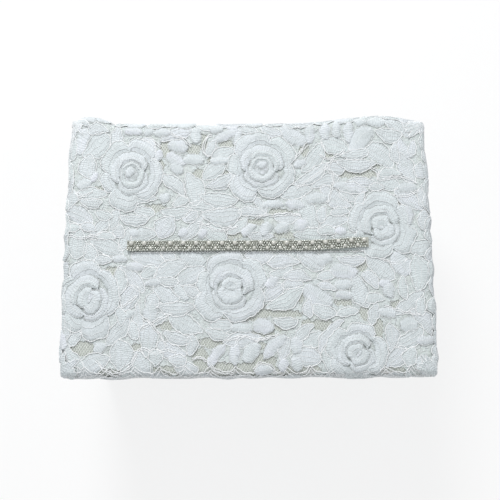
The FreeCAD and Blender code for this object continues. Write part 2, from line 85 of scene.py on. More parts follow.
# The lace's sizes in millimetres, its net's lean in radians, and some counts and shares.
CORD = 0.42
FINE_CORD = 0.28
STEM_APART = 0.7
STEM_HEIGHT = 0.45
NET_THREAD = 0.26
NET_HEIGHT = 0.25
NET_PITCH = 1.9
NET_STEP = 0.9
NET_MARGIN = 0.8
NET_LAP = 0.5
NET_EVERY = 4
NET_LEAN = math.radians(58)
FAR_OUTSIDE = 99.0
CELL = 0.5
CLOTH = 0.35
CLOTH_TOP = 0.75
CLOTH_SWELL = 0.35
MOTIF_SEAT = 0.9
ACROSS = 8
VEINED_WIDTH = 8.5
VEINED_LENGTH = 12.5
PATH_STEP = 1.5
# Cells over which the painted shade beside the motifs fades out.
SHADE_STEPS = 5
JOIN_ROUNDS = 6
CLOSED_HEART = 0.04

# Angles in degrees above which edges stay sharp, and how far a flat end is drawn in.
SKIN_CREASE = 40
CLOTH_CREASE = 50
MOTIF_CREASE = 60
FLAT_END = np.array([0.97, 0.97, 1])

# Sway of the covering, its loose gathers at the back as middle, half width and push, and where each sets in.
SIDE_SWAY = 0.7
FRONT_SWAY = 0.5
BACK_GATHERS = ((-138, 17, 8.0), (112, 42, 6.5))
SIDE_ZONE = (140, 152)
FRONT_ZONE = (96, 107)
BACK_ZONE = (78, 104)

# Where lace is drawn tight along X and Y, and pressed down beside the strip and below the rolled edge.
TIGHT_X = (120, 150)
TIGHT_Y = (20, 104)
PRESSED_TOP = (0.5, 5)
PRESSED_WALL = (1, 14)

# Filling of the gaps between the drawn motifs: sizes in cells, spacing and lengths in millimetres.
FILL_ROUNDS = 14
FILL_BATCH = 30
FILL_APART = 20.0
FILL_WIDEST = 14
FILL_NARROWEST = 8
FILL_BUDS = 0.15
SCROLL_NARROWEST = 3
SCROLL_LONGEST = 10.0
SCROLL_WAVE = 4.5
FEELER_STEP = 0.6
FEELER_STEPS = 25
FEELERS = 10
FEELER_SHIFT = 3.0

# Lobes and folds along the lid's edge, then repeats, hem sizes and cloth steps of the walls and the base.
LOBE_PITCH = 15.0
LOBE_LENGTHS = (15, 22)
LOBE_WIDTHS = (8, 11)
LOBE_CLEAR = 4
LOBE_BUDS = 0.4
FOLDS = 6
FOLD_LENGTHS = (13, 22)
FOLD_WIDTHS = (3.5, 5)
WALL_TILES = 10
SCALLOPS = 4 * WALL_TILES
HEM_DEPTH = LID_LOW[2] - LACE_HEM
HEM_CRESCENT = 3.4
HEM_CORD = 5.4
HEM_PICOT = 8.0
BASE_TILES = 10
BASE_SPACING = 2.4
BASE_RELIEF = 0.5
BAND_HEIGHT = (BAND_HIGH - BAND_LOW)[2]
BAND_CORD_POINTS = 600
BAND_CORD_INSET = 0.8
BAND_MARGIN = 0.5
TOP_CLOTH_STEP = 1.5
WALL_CLOTH_STEP = 1.7
BASE_CLOTH_STEP = 2.0

# Front edge: loops of cord as start and depth, small leaves as offset and angle.
FRONT_LOOPS = 15
FRONT_CORDS = ((-99.0, 5.0), (-101.5, 6.0), (-105.5, 5.0))
FRONT_LEAVES = ((-6.5, 62), (-2, 82), (3, 105), (7.5, 124))
FRONT_LEAF_Y = -107.2
FRONT_LEAF_SIZE = (7.0, 3.6)
FRONT_LEAF_CLEAR = 1.5

# Seeds of the random draws.
DRAWING_SEED = 1
LID_FILL_SEED = 3
FOLD_SEED = 4
WALL_FILL_SEED = 5
BASE_FILL_SEED = 6
LOBE_SEED = 8
BEAD_SEED = 11


class Wrap:
    """The skin that a covering lies on: a box with a round top edge and full corners."""

    FULLNESS = 4
    CORNER_LENGTH = 1.75

    def __init__(self, half_x, half_y, top, edge):
        self.half = np.array([half_x, half_y])
        self.top = top
        self.edge = edge
        core = self.half - edge
        signs = np.array([(1, -1), (1, 1), (-1, 1), (-1, -1)])
        self.corners = signs * core
        runs = []
        for side in range(4):
            runs += [2 * core[side % 2], self.CORNER_LENGTH * edge]
        self.starts = np.concatenate([[0], np.cumsum(runs)])
        self.around = self.starts[-1]

    def length_of(self, offsets):
        """Size of an offset from the core, measured so that corners stay full."""
        return (np.abs(offsets) ** self.FULLNESS).sum(-1) ** (1 / self.FULLNESS)

    def over_top(self, flat, height):
        """Places for flat points on the top, which spill over its edge, at a height above the skin."""
        flat = np.asarray(flat, float)
        core = np.clip(flat, self.edge - self.half, self.half - self.edge)
        spill = flat - core
        reach = self.length_of(spill)
        turn = np.minimum(reach / self.edge, QUARTER)
        way = spill / np.maximum(reach, 1e-9)[..., None]
        out = (self.edge + height) * np.sin(turn)
        drop = np.maximum(reach - self.edge * QUARTER, 0)
        z = self.top - self.edge + (self.edge + height) * np.cos(turn) - drop
        return np.concatenate([core + way * out[..., None], z[..., None]], -1)

    def bearing(self, along):
        """Core point and outward way at a distance round the walls, from the front left corner."""
        along = np.mod(np.asarray(along, float), self.around)
        part = np.clip(np.searchsorted(self.starts, along, side="right") - 1, 0, 7)
        share = (along - self.starts[part]) / (self.starts[part + 1] - self.starts[part])
        side = part // 2
        turning = part % 2
        here = self.corners[side]
        before = self.corners[side - 1]
        core = np.where(turning[..., None] == 1, here, before + (here - before) * share[..., None])
        angle = QUARTER * (side - 1 + turning * share)
        way = np.stack([np.cos(angle), np.sin(angle)], -1)
        return core, way / self.length_of(way)[..., None]

    def on_wall(self, flat, height):
        """Places for (distance round, z) points, at a height out from the skin."""
        flat = np.asarray(flat, float)
        core, way = self.bearing(flat[..., 0])
        place = core + way * (self.edge + np.asarray(height, float))[..., None]
        return np.concatenate([place, flat[..., 1:]], -1)


LID = Wrap(LID_HIGH[0], LID_HIGH[1], LID_HIGH[2], 6.5)
BASE = Wrap(BASE_HIGH[0], BASE_HIGH[1], BASE_HIGH[2], 1.2)


def ease(value, low, high):
    """Rises softly from 0 at low to 1 at high."""
    share = np.clip((value - low) / (high - low), 0, 1)
    return share * share * (3 - 2 * share)


def hump(value, middle, width):
    """Rises to 1 at the middle and falls away on both sides."""
    return np.exp(-(((value - middle) / width) ** 2))


def direction(angle):
    """Unit vectors ahead and to the left, for an angle in radians."""
    ahead = np.array([math.cos(angle), math.sin(angle)])
    return ahead, np.array([-ahead[1], ahead[0]])


def slacken(points):
    """Looser covering: gathers push it out at the back corners, and it sways along the sides and front."""
    x, y, z = np.moveaxis(points, -1, 0)
    loose = sum(push * hump(x, middle, width) for middle, width, push in BACK_GATHERS)
    side_wave = 1 + np.sin(0.21 * y + 2 * np.sin(0.05 * y) + np.sign(x))
    front_wave = 1 + np.sin(0.17 * x + 2 * np.sin(0.043 * x))
    beside = SIDE_SWAY * side_wave * ease(np.abs(x), *SIDE_ZONE)
    ahead = FRONT_SWAY * front_wave * ease(-y, *FRONT_ZONE)
    return np.stack([x + np.sign(x) * beside, y + loose * ease(y, *BACK_ZONE) - ahead, z], -1)


def drawn_tight(place):
    """Share of its height that the lace keeps: less at the back of the sides, where it is drawn tight."""
    return 1 - 0.65 * ease(place[..., 1], *TIGHT_Y) * ease(np.abs(place[..., 0]), *TIGHT_X)


def lid_top(flat, height):
    """Places for flat points of the lid top's lace, which is pressed down round the beaded strip."""
    flat = np.asarray(flat, float)
    away = np.maximum(np.abs(flat - TAPE_MIDDLE) - TAPE_HALF, 0)
    pressed = 0.5 + 0.5 * ease(np.hypot(away[..., 1], away[..., 0]), *PRESSED_TOP)
    return slacken(LID.over_top(flat, height * pressed * drawn_tight(flat)))


def lid_wall(flat, height):
    """Places for (distance round, z) points of the lid walls' lace, pressed in under the rolled edge."""
    below_edge = LID.top - LID.edge - np.asarray(flat)[..., 1]
    pressed = (0.2 + 0.5 * ease(below_edge, *PRESSED_WALL)) * drawn_tight(LID.on_wall(flat, 0.0))
    return slacken(LID.on_wall(flat, height * pressed))


def base_wall(flat, height):
    """Places for (distance round, z) points of the base's lace, which lies flatter."""
    return BASE.on_wall(flat, BASE_RELIEF * height)


# Mesh making


def add_object(name, data):
    """Adds a mesh, camera or light to the scene as an object."""
    made = bpy.data.objects.new(name, data)
    bpy.context.scene.collection.objects.link(made)
    return made


def paint(piece, material):
    """Gives a piece one material."""
    piece.data.materials.clear()
    piece.data.materials.append(material)
    return piece


def add_piece(mesh, material):
    """Adds a mesh as an object of its own name, in one material."""
    return paint(add_object(mesh.name, mesh), material)


def triangle_mesh(name, points, triangles, crease):
    """A smooth mesh from points in millimetres and triangles that face outwards."""
    mesh = bpy.data.meshes.new(name)
    mesh.vertices.add(len(points))
    mesh.vertices.foreach_set("co", (np.asarray(points, float) * MM).ravel())
    count = len(triangles)
    mesh.loops.add(3 * count)
    mesh.loops.foreach_set("vertex_index", np.asarray(triangles, np.int32).ravel())
    mesh.polygons.add(count)
    mesh.polygons.foreach_set("loop_start", np.arange(0, 3 * count, 3, dtype=np.int32))
    mesh.update(calc_edges=True)
    mesh.validate()
    smooth_but_creased(mesh, crease)
    return mesh


def smooth_but_creased(mesh, crease):
    """Smooth shading, with edges sharper than an angle in degrees kept sharp."""
    mesh.polygons.foreach_set("use_smooth", np.ones(len(mesh.polygons), bool))
    mesh.set_sharp_from_angle(angle=math.radians(crease))


def grid_triangles(rows, columns, wrap_rows, wrap_columns):
    """Two triangles for each cell of a grid of points, wrapping round where asked."""
    row = np.arange(rows if wrap_rows else rows - 1)
    column = np.arange(columns if wrap_columns else columns - 1)
    r, c = (a.ravel() for a in np.meshgrid(row, column, indexing="ij"))
    r_next, c_next = (r + 1) % rows, (c + 1) % columns
    a, b = r * columns + c, r * columns + c_next
    d, e = r_next * columns + c, r_next * columns + c_next
    return np.concatenate([np.stack([a, b, e], -1), np.stack([a, e, d], -1)])


def ring_mesh(name, loops):
    """A closed skin through loops of points, the last loop joining the first."""
    points = np.array(loops)
    triangles = grid_triangles(len(loops), points.shape[1], True, True)
    return triangle_mesh(name, points.reshape(-1, 3), triangles, SKIN_CREASE)


def capped_mesh(name, loops):
    """A closed skin through loops of points, with a fan over the first and the last loop."""
    points = np.array(loops)
    rows, columns = points.shape[:2]
    around = np.arange(columns)
    ahead = (around + 1) % columns
    end = (rows - 1) * columns
    triangles = [
        grid_triangles(rows, columns, False, True),
        np.stack([np.full(columns, rows * columns), ahead, around], -1),
        np.stack([np.full(columns, rows * columns + 1), end + around, end + ahead], -1),
    ]
    middles = np.stack([points[0].mean(0), points[-1].mean(0)])
    points = np.concatenate([points.reshape(-1, 3), middles])
    return triangle_mesh(name, points, np.concatenate(triangles), SKIN_CREASE)


def flat_ended_mesh(name, loops):
    """A closed skin through loops of points, with a wide flat face inside the first and the last loop."""
    return capped_mesh(name, [loops[0] * FLAT_END, *loops, loops[-1] * FLAT_END])


# Lace drawing: blades of clothwork, cords and the net between them


class Lace:
    """A stretch of lace drawn flat, in millimetres, before it is laid on the box."""

    def __init__(self, spacing=1.6):
        self.spacing = spacing
        self.points = []
        self.heights = []
        self.threads = []
        self.tones = []
        self.rims = []
        self.triangles = []
        self.count = 0
        self.cords = []
        self.outlines = []
        self.chance = random.Random(DRAWING_SEED)

    def blade(self, left, right, crown, lift, groove=0.0, tone=0.5, shade_and_holes=0.0, lean=1.0):
        """A crowned blade of clothwork between two edges that meet at both ends.

        Its crown leans towards the right edge where lean is above one. Its edge columns, and the whole blade
        by a given share, take dotted dark marks: stitch holes with painted shade.
        """
        share = 0.5 - 0.5 * np.cos(np.linspace(0, math.pi, ACROSS + 1))
        inner = left[1:-1, None] * (1 - share[:, None]) + right[1:-1, None] * share[:, None]
        rows = len(inner)
        along = np.linspace(0, 1, rows + 2)[1:-1]
        swell = crown * (1 - (2 * share**lean - 1) ** 2) ** 0.85 - groove * hump(share, 0.5, 0.12)
        fade = (1 - np.abs(2 * along - 1) ** 5) ** 0.5
        flat = np.concatenate([inner.reshape(-1, 2), left[:1], left[-1:]])
        up = np.concatenate([(fade[:, None] * swell).ravel(), [0, 0]]) + lift + MOTIF_SEAT
        span = np.linalg.norm(right - left, axis=-1)[1:-1]
        run = np.concatenate([[0], np.cumsum(np.linalg.norm(np.diff(left + right, axis=0) / 2, axis=-1))])
        thread = np.stack(np.broadcast_arrays(run[1:-1, None], share * span[:, None]), -1).reshape(-1, 2)
        thread = np.concatenate([thread, [[0, 0], [run[-1], 0]]])
        # Share of dotted dark marks, stitch holes with painted shade: full at the edge columns, the given
        # share elsewhere.
        rim = np.full((rows, ACROSS + 1), shade_and_holes)
        rim[:, (0, 1, -2, -1)] = 1
        triangles = self.blade_triangles(rows, ACROSS + 1)
        corner = np.cross(right[rows // 2] - left[rows // 2], left[rows // 2 + 1] - left[rows // 2])
        if corner < 0:
            triangles = triangles[:, ::-1]
        self.points.append(flat)
        self.heights.append(up)
        self.threads.append(thread)
        self.tones.append(np.full(len(flat), tone))
        self.rims.append(np.append(rim.ravel(), [1, 1]))
        self.triangles.append(triangles + self.count)
        self.count += len(flat)
        self.outlines.append(np.concatenate([left, right[::-1]]))

    @staticmethod
    def blade_triangles(rows, columns):
        """The crown of a blade, its two tips and its flat back."""
        parts = [grid_triangles(rows, columns, False, False)]
        step = np.arange(columns - 1)
        start, end = rows * columns, rows * columns + 1
        last = (rows - 1) * columns
        parts.append(np.stack([np.full(columns - 1, start), step + 1, step], -1))
        parts.append(np.stack([np.full(columns - 1, end), last + step, last + step + 1], -1))
        low = np.arange(rows - 1) * columns
        high = low + columns - 1
        parts.append(np.stack([low, low + columns, high], -1))
        parts.append(np.stack([high, low + columns, high + columns], -1))
        parts.append(np.array([[start, 0, columns - 1], [end, last + columns - 1, last]]))
        return np.concatenate(parts)

    def cord(self, flat, height, fine=False):
        """A cord laid along flat points."""
        flat = np.asarray(flat, float)
        self.cords.append((flat, np.full(len(flat), height + MOTIF_SEAT), fine))

    def leaf(self, x, y, length, width, angle, bend=0.1, crown=0.8, lift=0.1):
        """A pointed leaf with a sunk midrib, veins and a corded edge. The angle points at its tip."""
        t = np.linspace(0, 1, max(9, int(length / self.spacing)))
        half = width / 2 * np.sin(math.pi * t**0.85) ** 0.8
        left, right = self.sides(x, y, length, angle, bend, t, half)
        self.blade(left, right, crown, lift, groove=0.5 * crown, tone=self.chance.uniform(0, 0.7))
        self.cord(np.concatenate([left, right[-2::-1]]), lift + 0.35)
        self.cord((left + right)[1:-2] / 2, lift + 0.55 * crown, fine=True)
        if width > VEINED_WIDTH:
            for share in (0.24, 0.76):
                self.cord((left * (1 - share) + right * share)[2:-2], lift + 0.8 * crown, fine=True)

    def bud(self, x, y, length, width, angle, crown=0.9, lift=0.05, shade_and_holes=0.0):
        """A plump satin-stitched bud."""
        t = 0.5 - 0.5 * np.cos(np.linspace(0, math.pi, max(9, int(1.6 * length / self.spacing))))
        half = width / 2 * (1 - np.abs(2 * t - 1) ** 2.3) ** 0.5
        left, right = self.sides(x, y, length, angle, 0.06, t, half)
        self.blade(left, right, crown, lift, tone=self.chance.uniform(0.25, 0.9), shade_and_holes=shade_and_holes)
        self.cord(np.concatenate([left, right[-2::-1]]), lift + 0.1, fine=True)
        if length > VEINED_LENGTH:
            self.cord((left + right)[2:-2] / 2, lift + 0.9 * crown, fine=True)

    @staticmethod
    def sides(x, y, length, angle, bend, t, half):
        """The two edges of a leaf or bud about its bent middle line."""
        ahead, aside = direction(math.radians(angle))
        arch = bend * length * (1 - (2 * t - 1) ** 2 - 0.67)
        middle = np.array([x, y]) + np.outer((t - 0.5) * length, ahead) + np.outer(arch, aside)
        return middle + np.outer(half, aside), middle - np.outer(half, aside)

    def petal(self, centre, start, end, inner, outer, crown, lift, ripple,
              blunt=3.5, contours=(0.5,), fine=True):
        """A petal round the middle of a rose, between two radii, with rounder ends where less blunt."""
        span = abs(end - start) / 360 * math.tau * outer
        t = np.linspace(0, 1, max(10, int(span / self.spacing)))
        angle = np.radians(start + (end - start) * t)
        full = (1 - np.abs(2 * t - 1) ** blunt) ** 0.55
        reach = inner + (outer - inner) * full * (1 + ripple * np.sin(3 * math.pi * t))
        way = np.stack([np.cos(angle), np.sin(angle)], -1)
        left, right = centre + way * inner, centre + way * reach[:, None]
        self.blade(left, right, crown, lift, tone=self.chance.uniform(0.1, 0.6), lean=PETAL_LEAN)
        self.cord(right[1:-1], lift + 0.4, fine=fine)
        for share in contours:
            middle = (1 - share) * left + share * right
            self.cord(middle[2:-2], lift + crown * 0.92, fine=True)

    def rose(self, x, y, radius, turn, flip, tall, hollow=CLOSED_HEART):
        """A rose of outer petals, a crescent and two cowls round its cup, and a curl in the cup's heart."""
        first_blade, first_cord = len(self.points), len(self.cords)
        cup = np.array(CUP_MIDDLE) * radius
        for start, end, reach, lift in OUTER_PETALS:
            self.petal(np.zeros(2), start, end, PETAL_ROOT * radius, reach * radius, crown=1.1, lift=lift,
                       ripple=0.06, blunt=2.4, contours=(0.4, 0.72), fine=False)
        for start, end, inner, reach, lift in INNER_PETALS:
            self.petal(cup, start, end, inner * radius, reach * radius, crown=1.0, lift=lift, ripple=0.04)
        for start, end, reach in CUP_PETALS:
            self.petal(cup, start, end, hollow * radius, reach * radius, crown=1.0, lift=0.95, ripple=0.03)
        if hollow > CLOSED_HEART:
            curl = cup + (0, 0.4 * hollow * radius)
            # A sunken disc in an open heart, darkened all over with dotted painted shade and open stitches.
            self.bud(*cup, 2.6 * hollow * radius, 2.4 * hollow * radius, 0, crown=0.3, lift=0.55, shade_and_holes=0.6)
            self.bud(*curl, 0.3 * radius, 0.24 * radius, 10, crown=0.9, lift=0.9)
        else:
            curl = cup + (0.03 * radius, 0)
            self.bud(*curl, 0.24 * radius, 0.1 * radius, 12, crown=0.5, lift=1.2)
        shape = np.diag([flip, tall]) @ np.stack(direction(math.radians(turn)), -1)
        place = np.array([x, y])
        for i in range(first_blade, len(self.points)):
            self.points[i] = self.points[i] @ shape.T + place
            self.outlines[i] = self.outlines[i] @ shape.T + place
            if flip < 0:
                self.triangles[i] = self.triangles[i][:, ::-1]
        for i in range(first_cord, len(self.cords)):
            flat, height, fine = self.cords[i]
            self.cords[i] = flat @ shape.T + place, height, fine

    def stem(self, points):
        """A pair of cords side by side along a smooth path through a few points."""
        path = smooth_path(np.asarray(points, float))
        across = np.gradient(path, axis=0)[:, ::-1] * (-1, 1)
        across = across / np.linalg.norm(across, axis=-1)[:, None]
        for side in (1, -1):
            self.cord(path + side * STEM_APART * across, STEM_HEIGHT)

    def copy_to(self, other, shift):
        """Adds this drawing to another, moved by a flat shift."""
        shift = np.asarray(shift, float)
        other.points += [p + shift for p in self.points]
        other.heights += self.heights
        other.threads += self.threads
        other.tones += self.tones
        other.rims += self.rims
        other.triangles += [t + other.count for t in self.triangles]
        other.count += self.count
        other.cords += [(flat + shift, height, fine) for flat, height, fine in self.cords]
        other.outlines += [o + shift for o in self.outlines]

    def warp(self, change):
        """Moves the whole drawing by a function of its flat points."""
        self.points = [change(p) for p in self.points]
        self.outlines = [change(p) for p in self.outlines]
        self.cords = [(change(flat), height, fine) for flat, height, fine in self.cords]


def smooth_path(points):
    """A curve through a few points."""
    ends = np.concatenate([2 * points[:1] - points[1:2], points, 2 * points[-1:] - points[-2:-1]])
    path = []
    for a, b, c, d in zip(ends, ends[1:], ends[2:], ends[3:]):
        t = np.linspace(0, 1, max(3, int(np.linalg.norm(c - b) / PATH_STEP)), endpoint=False)[:, None]
        bend = (2 * a - 5 * b + 4 * c - d) * t**2 + (3 * b - a - 3 * c + d) * t**3
        path.append(b + ((c - a) * t + bend) / 2)
    return np.concatenate([*path, points[-1:]])


# Outer petals of a rose: start and end angle in degrees, reach as a share of its radius, and lift.
OUTER_PETALS = (
    (160, 70, 1.06, 0.4),
    (80, 0, 1.02, 0.1),
    (10, -106, 0.98, 0.4),
    (-98, -166, 1.18, 0.15),
    (-157, -210, 1.02, 0.0),
)

# Petals round a rose's cup, in the same form with an inner radius: a crescent and two cowls.
INNER_PETALS = (
    (-14, -174, 0.36, 0.60, 0.35),
    (192, -12, 0.35, 0.70, 0.40),
    (142, -18, 0.345, 0.54, 0.75),
)
CUP_PETALS = ((-12, 192, 0.36), (160, 380, 0.41))
CUP_MIDDLE = (-0.04, -0.05)
PETAL_ROOT = 0.58
PETAL_LEAN = 1.5

# The lid top's roses, from the photograph: middle, radius, turn, flip, tallness and, of two, the open heart.
LID_ROSES = (
    (-98, 63, 27, 25, 1, 1.12, 0.2),
    (13, 68, 30, 0, 1, 1.0, 0.2),
    (110, 16, 27, -20, -1, 1.05),
    (-131, -43, 27, 60, 1, 1.15),
    (-13, -35, 30, -8, 1, 1.0),
    (88, -88, 25, 40, 1, 0.95),
)

# The lid top's leaves: middle, length, width and the angle that the tip points at.
LID_LEAVES = (
    (-135, 69, 22, 15, 88), (-147, 40, 17, 8, -92), (-132, 37, 21, 9, 172), (-121, 26, 15, 9, 160),
    (-146, 16, 13, 8, 170), (-133, 16, 15, 8, -12), (-69, 16, 22, 18, 55), (-111, 92, 23, 12, 95),
    (-62, 52, 29, 12, -42), (-56, 38, 15, 8, 20), (-95, 22, 27, 9, 175), (-107, 12, 13, 9, 92),
    (-83, 88, 16, 7, -48), (-31, 84, 16, 8, 62), (-23, 54, 26, 12, 206), (-25, 39, 34, 13, 172),
    (-22, 25, 34, 17, 182), (-48, 24, 16, 9, 208), (4, 28, 25, 9, -6), (53, 59, 34, 12, 212),
    (91, 78, 25, 10, 188), (91, 69, 35, 11, 176), (88, 48, 25, 10, -5), (120, 62, 20, 8, 4),
    (125, 79, 19, 9, 92), (140, 83, 12, 7, 80), (145, 64, 15, 8, 95), (146, 40, 17, 9, -85),
    (147, 20, 20, 10, 98), (94, 36, 21, 8, 76), (62, 26, 15, 8, 75), (77, 28, 18, 9, 4),
    (66, 12, 18, 9, 5), (108, 49, 14, 8, 2), (-120, -12, 15, 9, 4), (-106, -32, 28, 11, -95),
    (-78, -46, 15, 11, 88), (-60, -52, 34, 12, 178), (-104, -58, 16, 8, -82), (-93, -70, 16, 10, 100),
    (-103, -90, 24, 20, -90), (-58, -76, 25, 11, 160), (-47, -38, 16, 9, 150), (-66, -30, 17, 9, 172),
    (30, -46, 35, 14, 207), (30, -64, 21, 9, 175), (-26, -73, 21, 9, 162), (-46, -82, 17, 11, -100),
    (30, -14, 27, 12, 4), (41, -26, 24, 9, -6), (49, -53, 17, 9, 95), (85, -13, 25, 9, 176),
    (64, -26, 16, 8, 6), (65, -35, 17, 7, -14), (101, -29, 19, 10, -52), (103, -45, 16, 8, 2),
    (141, -24, 32, 17, -90), (127, -35, 21, 8, 92), (66, -74, 34, 9, 52), (61, -55, 23, 12, 158),
    (81, -56, 19, 8, 8), (116, -77, 23, 12, -92), (141, -51, 16, 8, 80), (66, -93, 24, 16, -84),
    (-140, -92, 24, 8, 125), (-148, -70, 16, 9, 95), (130, -92, 17, 13, 70), (-75, -92, 15, 12, -80),
    (-57, -94, 16, 10, 175), (45, -72, 22, 9, 45), (120, 92, 24, 9, 172), (-128, 97, 20, 9, 15),
    (-148, 82, 18, 7, 88), (138, 100, 16, 8, 165), (-88, 40, 24, 8, 10), (-118, 8, 18, 7, -8),
)

# The lid top's buds, in the same form.
LID_BUDS = (
    (-138, 53, 13, 10, 20), (-130, 59, 9, 7, 60), (-73, 98, 15, 8, 4), (-84, 99, 9, 8, 0),
    (-59, 86, 17, 11, -8), (-76, 78, 11, 9, 70), (-44, 96, 14, 10, 85), (-46, 74, 18, 10, -6),
    (-24, 73, 17, 8, 6), (-8, 93, 14, 8, 82), (21, 35, 18, 8, 2), (39, 35, 16, 9, -4),
    (0, 13, 14, 9, 42), (15, 14, 13, 9, 62), (28, 15, 14, 10, 30), (44, 17, 13, 10, 24),
    (53, 97, 18, 10, 90), (44, 70, 10, 8, 34), (57, 40, 18, 11, 8), (78, 51, 11, 8, 10),
    (134, 49, 15, 10, 6), (66, 97, 15, 9, 88), (76, 98, 14, 9, 95), (86, 95, 15, 9, 88),
    (97, 103, 13, 9, 10), (94, 15, 14, 10, 70), (133, 25, 16, 13, 88), (77, 12, 9, 8, 0),
    (-95, 11, 9, 8, 20), (-54, 11, 10, 9, 40), (-106, -11, 14, 7, 2), (-93, -18, 15, 9, -4),
    (-78, -31, 14, 8, 0), (-80, -55, 16, 12, 88), (-120, -84, 10, 9, 30), (-97, -57, 9, 7, 40),
    (19, -31, 12, 10, 40), (-6, -68, 17, 9, -4), (12, -67, 17, 12, -8), (-26, -90, 21, 9, 50),
    (-11, -90, 17, 10, 88), (2, -88, 18, 12, 52), (21, -83, 25, 10, 44), (28, -98, 11, 9, 60),
    (39, -97, 11, 9, 100), (12, -102, 14, 9, 4), (39, -82, 15, 12, 86), (63, -12, 13, 11, 30),
    (78, -33, 14, 10, 4), (78, -42, 14, 7, -4), (115, -38, 13, 11, 88), (113, -56, 15, 10, -10),
    (130, -66, 15, 12, 6), (143, -79, 14, 9, 4), (105, -93, 15, 10, 84), (140, -99, 16, 10, 100),
    (-27, 102, 13, 9, 4), (-13, 103, 9, 7, 0), (-98, 100, 14, 8, 0), (110, 102, 15, 9, -6),
    (-70, 41, 10, 8, 30), (-60, 66, 12, 9, -30), (-38, 10, 10, 8, 40), (112, -32, 10, 8, 0),
)

# Stems and loose cords on the lid top.
LID_STEMS = (
    ((-150, 9), (-138, 6), (-128, 9), (-118, 14)),
    ((68, 67), (60, 62), (46, 52), (40, 48)),
    ((73, 74), (68, 68), (72, 58), (70, 44), (66, 36)),
    ((104, 66), (109, 62), (111, 56), (122, 57), (134, 58), (142, 53)),
    ((115, 43), (124, 42), (136, 42), (143, 46)),
    ((-87, -68), (-79, -64), (-70, -60), (-62, -56)),
    ((-86, -60), (-79, -65), (-72, -74), (-66, -84)),
    ((-92, -42), (-98, -48), (-108, -52)),
    ((-10, -76), (-4, -75), (4, -77), (16, -77), (24, -74)),
    ((-18, -80), (-12, -77), (-5, -75)),
    ((-11, -82), (-8, -78), (-2, -75)),
    ((6, -80), (10, -77), (18, -75)),
    ((-123, -94), (-116, -101), (-106, -104), (-96, -100), (-90, -89)),
    ((-90, -87), (-84, -85), (-76, -88), (-68, -86), (-58, -88)),
    ((-45, -93), (-38, -92), (-32, -96), (-24, -102), (-12, -104)),
    ((4, -101), (10, -96), (17, -99), (22, -104)),
    ((110, -50), (118, -53), (128, -57), (140, -58)),
    ((106, -8), (112, -13), (122, -16), (131, -13)),
    ((34, 72), (40, 76), (48, 84), (52, 88)),
    ((-33, 76), (-38, 82), (-36, 92), (-30, 96)),
    ((-66, 98), (-60, 95), (-54, 92), (-48, 86)),
    ((6, 22), (12, 25), (20, 25), (32, 26), (44, 25)),
    ((-8, 16), (-16, 14), (-26, 13), (-34, 17), (-42, 20)),
    ((-130, 46), (-138, 43), (-146, 46)),
    ((-88, 91), (-80, 90), (-74, 86)),
    ((60, 78), (66, 74), (74, 76), (82, 82)),
)

# Net openings of the lid top: middle and half sizes.
LID_OPENINGS = (
    (-70, 85, 4, 7), (-46, 83, 5.5, 4.5), (67, 79, 5.5, 3.5), (91, 61, 17, 3), (-135, -84.5, 10, 5.5),
    (-30, -80, 9, 4), (-38.5, -92, 6.5, 7), (12, -55, 7, 5), (13, -95, 9, 5.5), (2, -101, 11, 5.5),
    (94, -18, 4, 3.5), (78, -48, 6, 2), (94.5, -57, 3, 5), (60, -66, 8, 4), (-37, 90, 2.5, 6),
    (-18, 88, 5, 3), (48, 82, 4, 5), (-31, 73, 2.5, 3), (-42, 61, 4, 5), (-15, 62, 5, 2.5),
    (7, 20, 6, 2), (26, 28, 8, 2.6), (-12, 8, 8, 2), (27, 8, 5, 2), (35, 8, 3, 3),
    (30, -57, 12, 2.5), (26, -68, 6, 2.5), (48, -66, 5, 4), (-26, -62, 5, 2), (0, -60, 8, 2),
    (12, -73, 8, 2.5), (10, -83, 5, 2.5), (43, -43, 3, 4), (-25, -101, 16, 5), (30, -103, 9, 4),
    (45, -102, 12, 3), (-75, 70, 4, 5), (-88, 80, 3, 4), (-125, 48, 5, 3), (-78, 32, 8, 3),
    (122, 36, 8, 3), (104, 68, 6, 3),
    (-112, -22, 5, 4), (-90, -84, 6, 3), (-66, -66, 7, 3), (122, -50, 6, 3), (105, -70, 4, 7),
    (-66, -102, 10, 3), (80, -104, 8, 3), (115, -103, 9, 3), (-112, -104, 9, 3),
    (-132, -109, 6, 2.5), (-93, -110, 7, 2.5), (-52, -109, 8, 2.5), (-17, -110, 7, 2.5), (16, -109, 6, 2.5),
    (53, -110, 8, 2.5), (100, -110, 7, 2.5), (134, -109, 6, 2.5),
)


def uneven(flat):
    """Hand-made unevenness: a slow wander of a flat drawing, with a quick shake."""
    x, y = flat[:, 0], flat[:, 1]
    dx = 0.5 * np.sin(0.31 * x + 1.7 * np.sin(0.17 * y)) + 0.3 * np.sin(0.83 * y + 0.4)
    dy = 0.5 * np.sin(0.29 * y + 1.3 * np.sin(0.19 * x)) + 0.3 * np.sin(0.77 * x + 1.1)
    dx += 0.34 * np.sin(1.35 * y + 2 * np.sin(0.8 * x))
    dy += 0.34 * np.sin(1.45 * x + 2 * np.sin(0.7 * y))
    return flat + np.stack([dx, dy], -1)


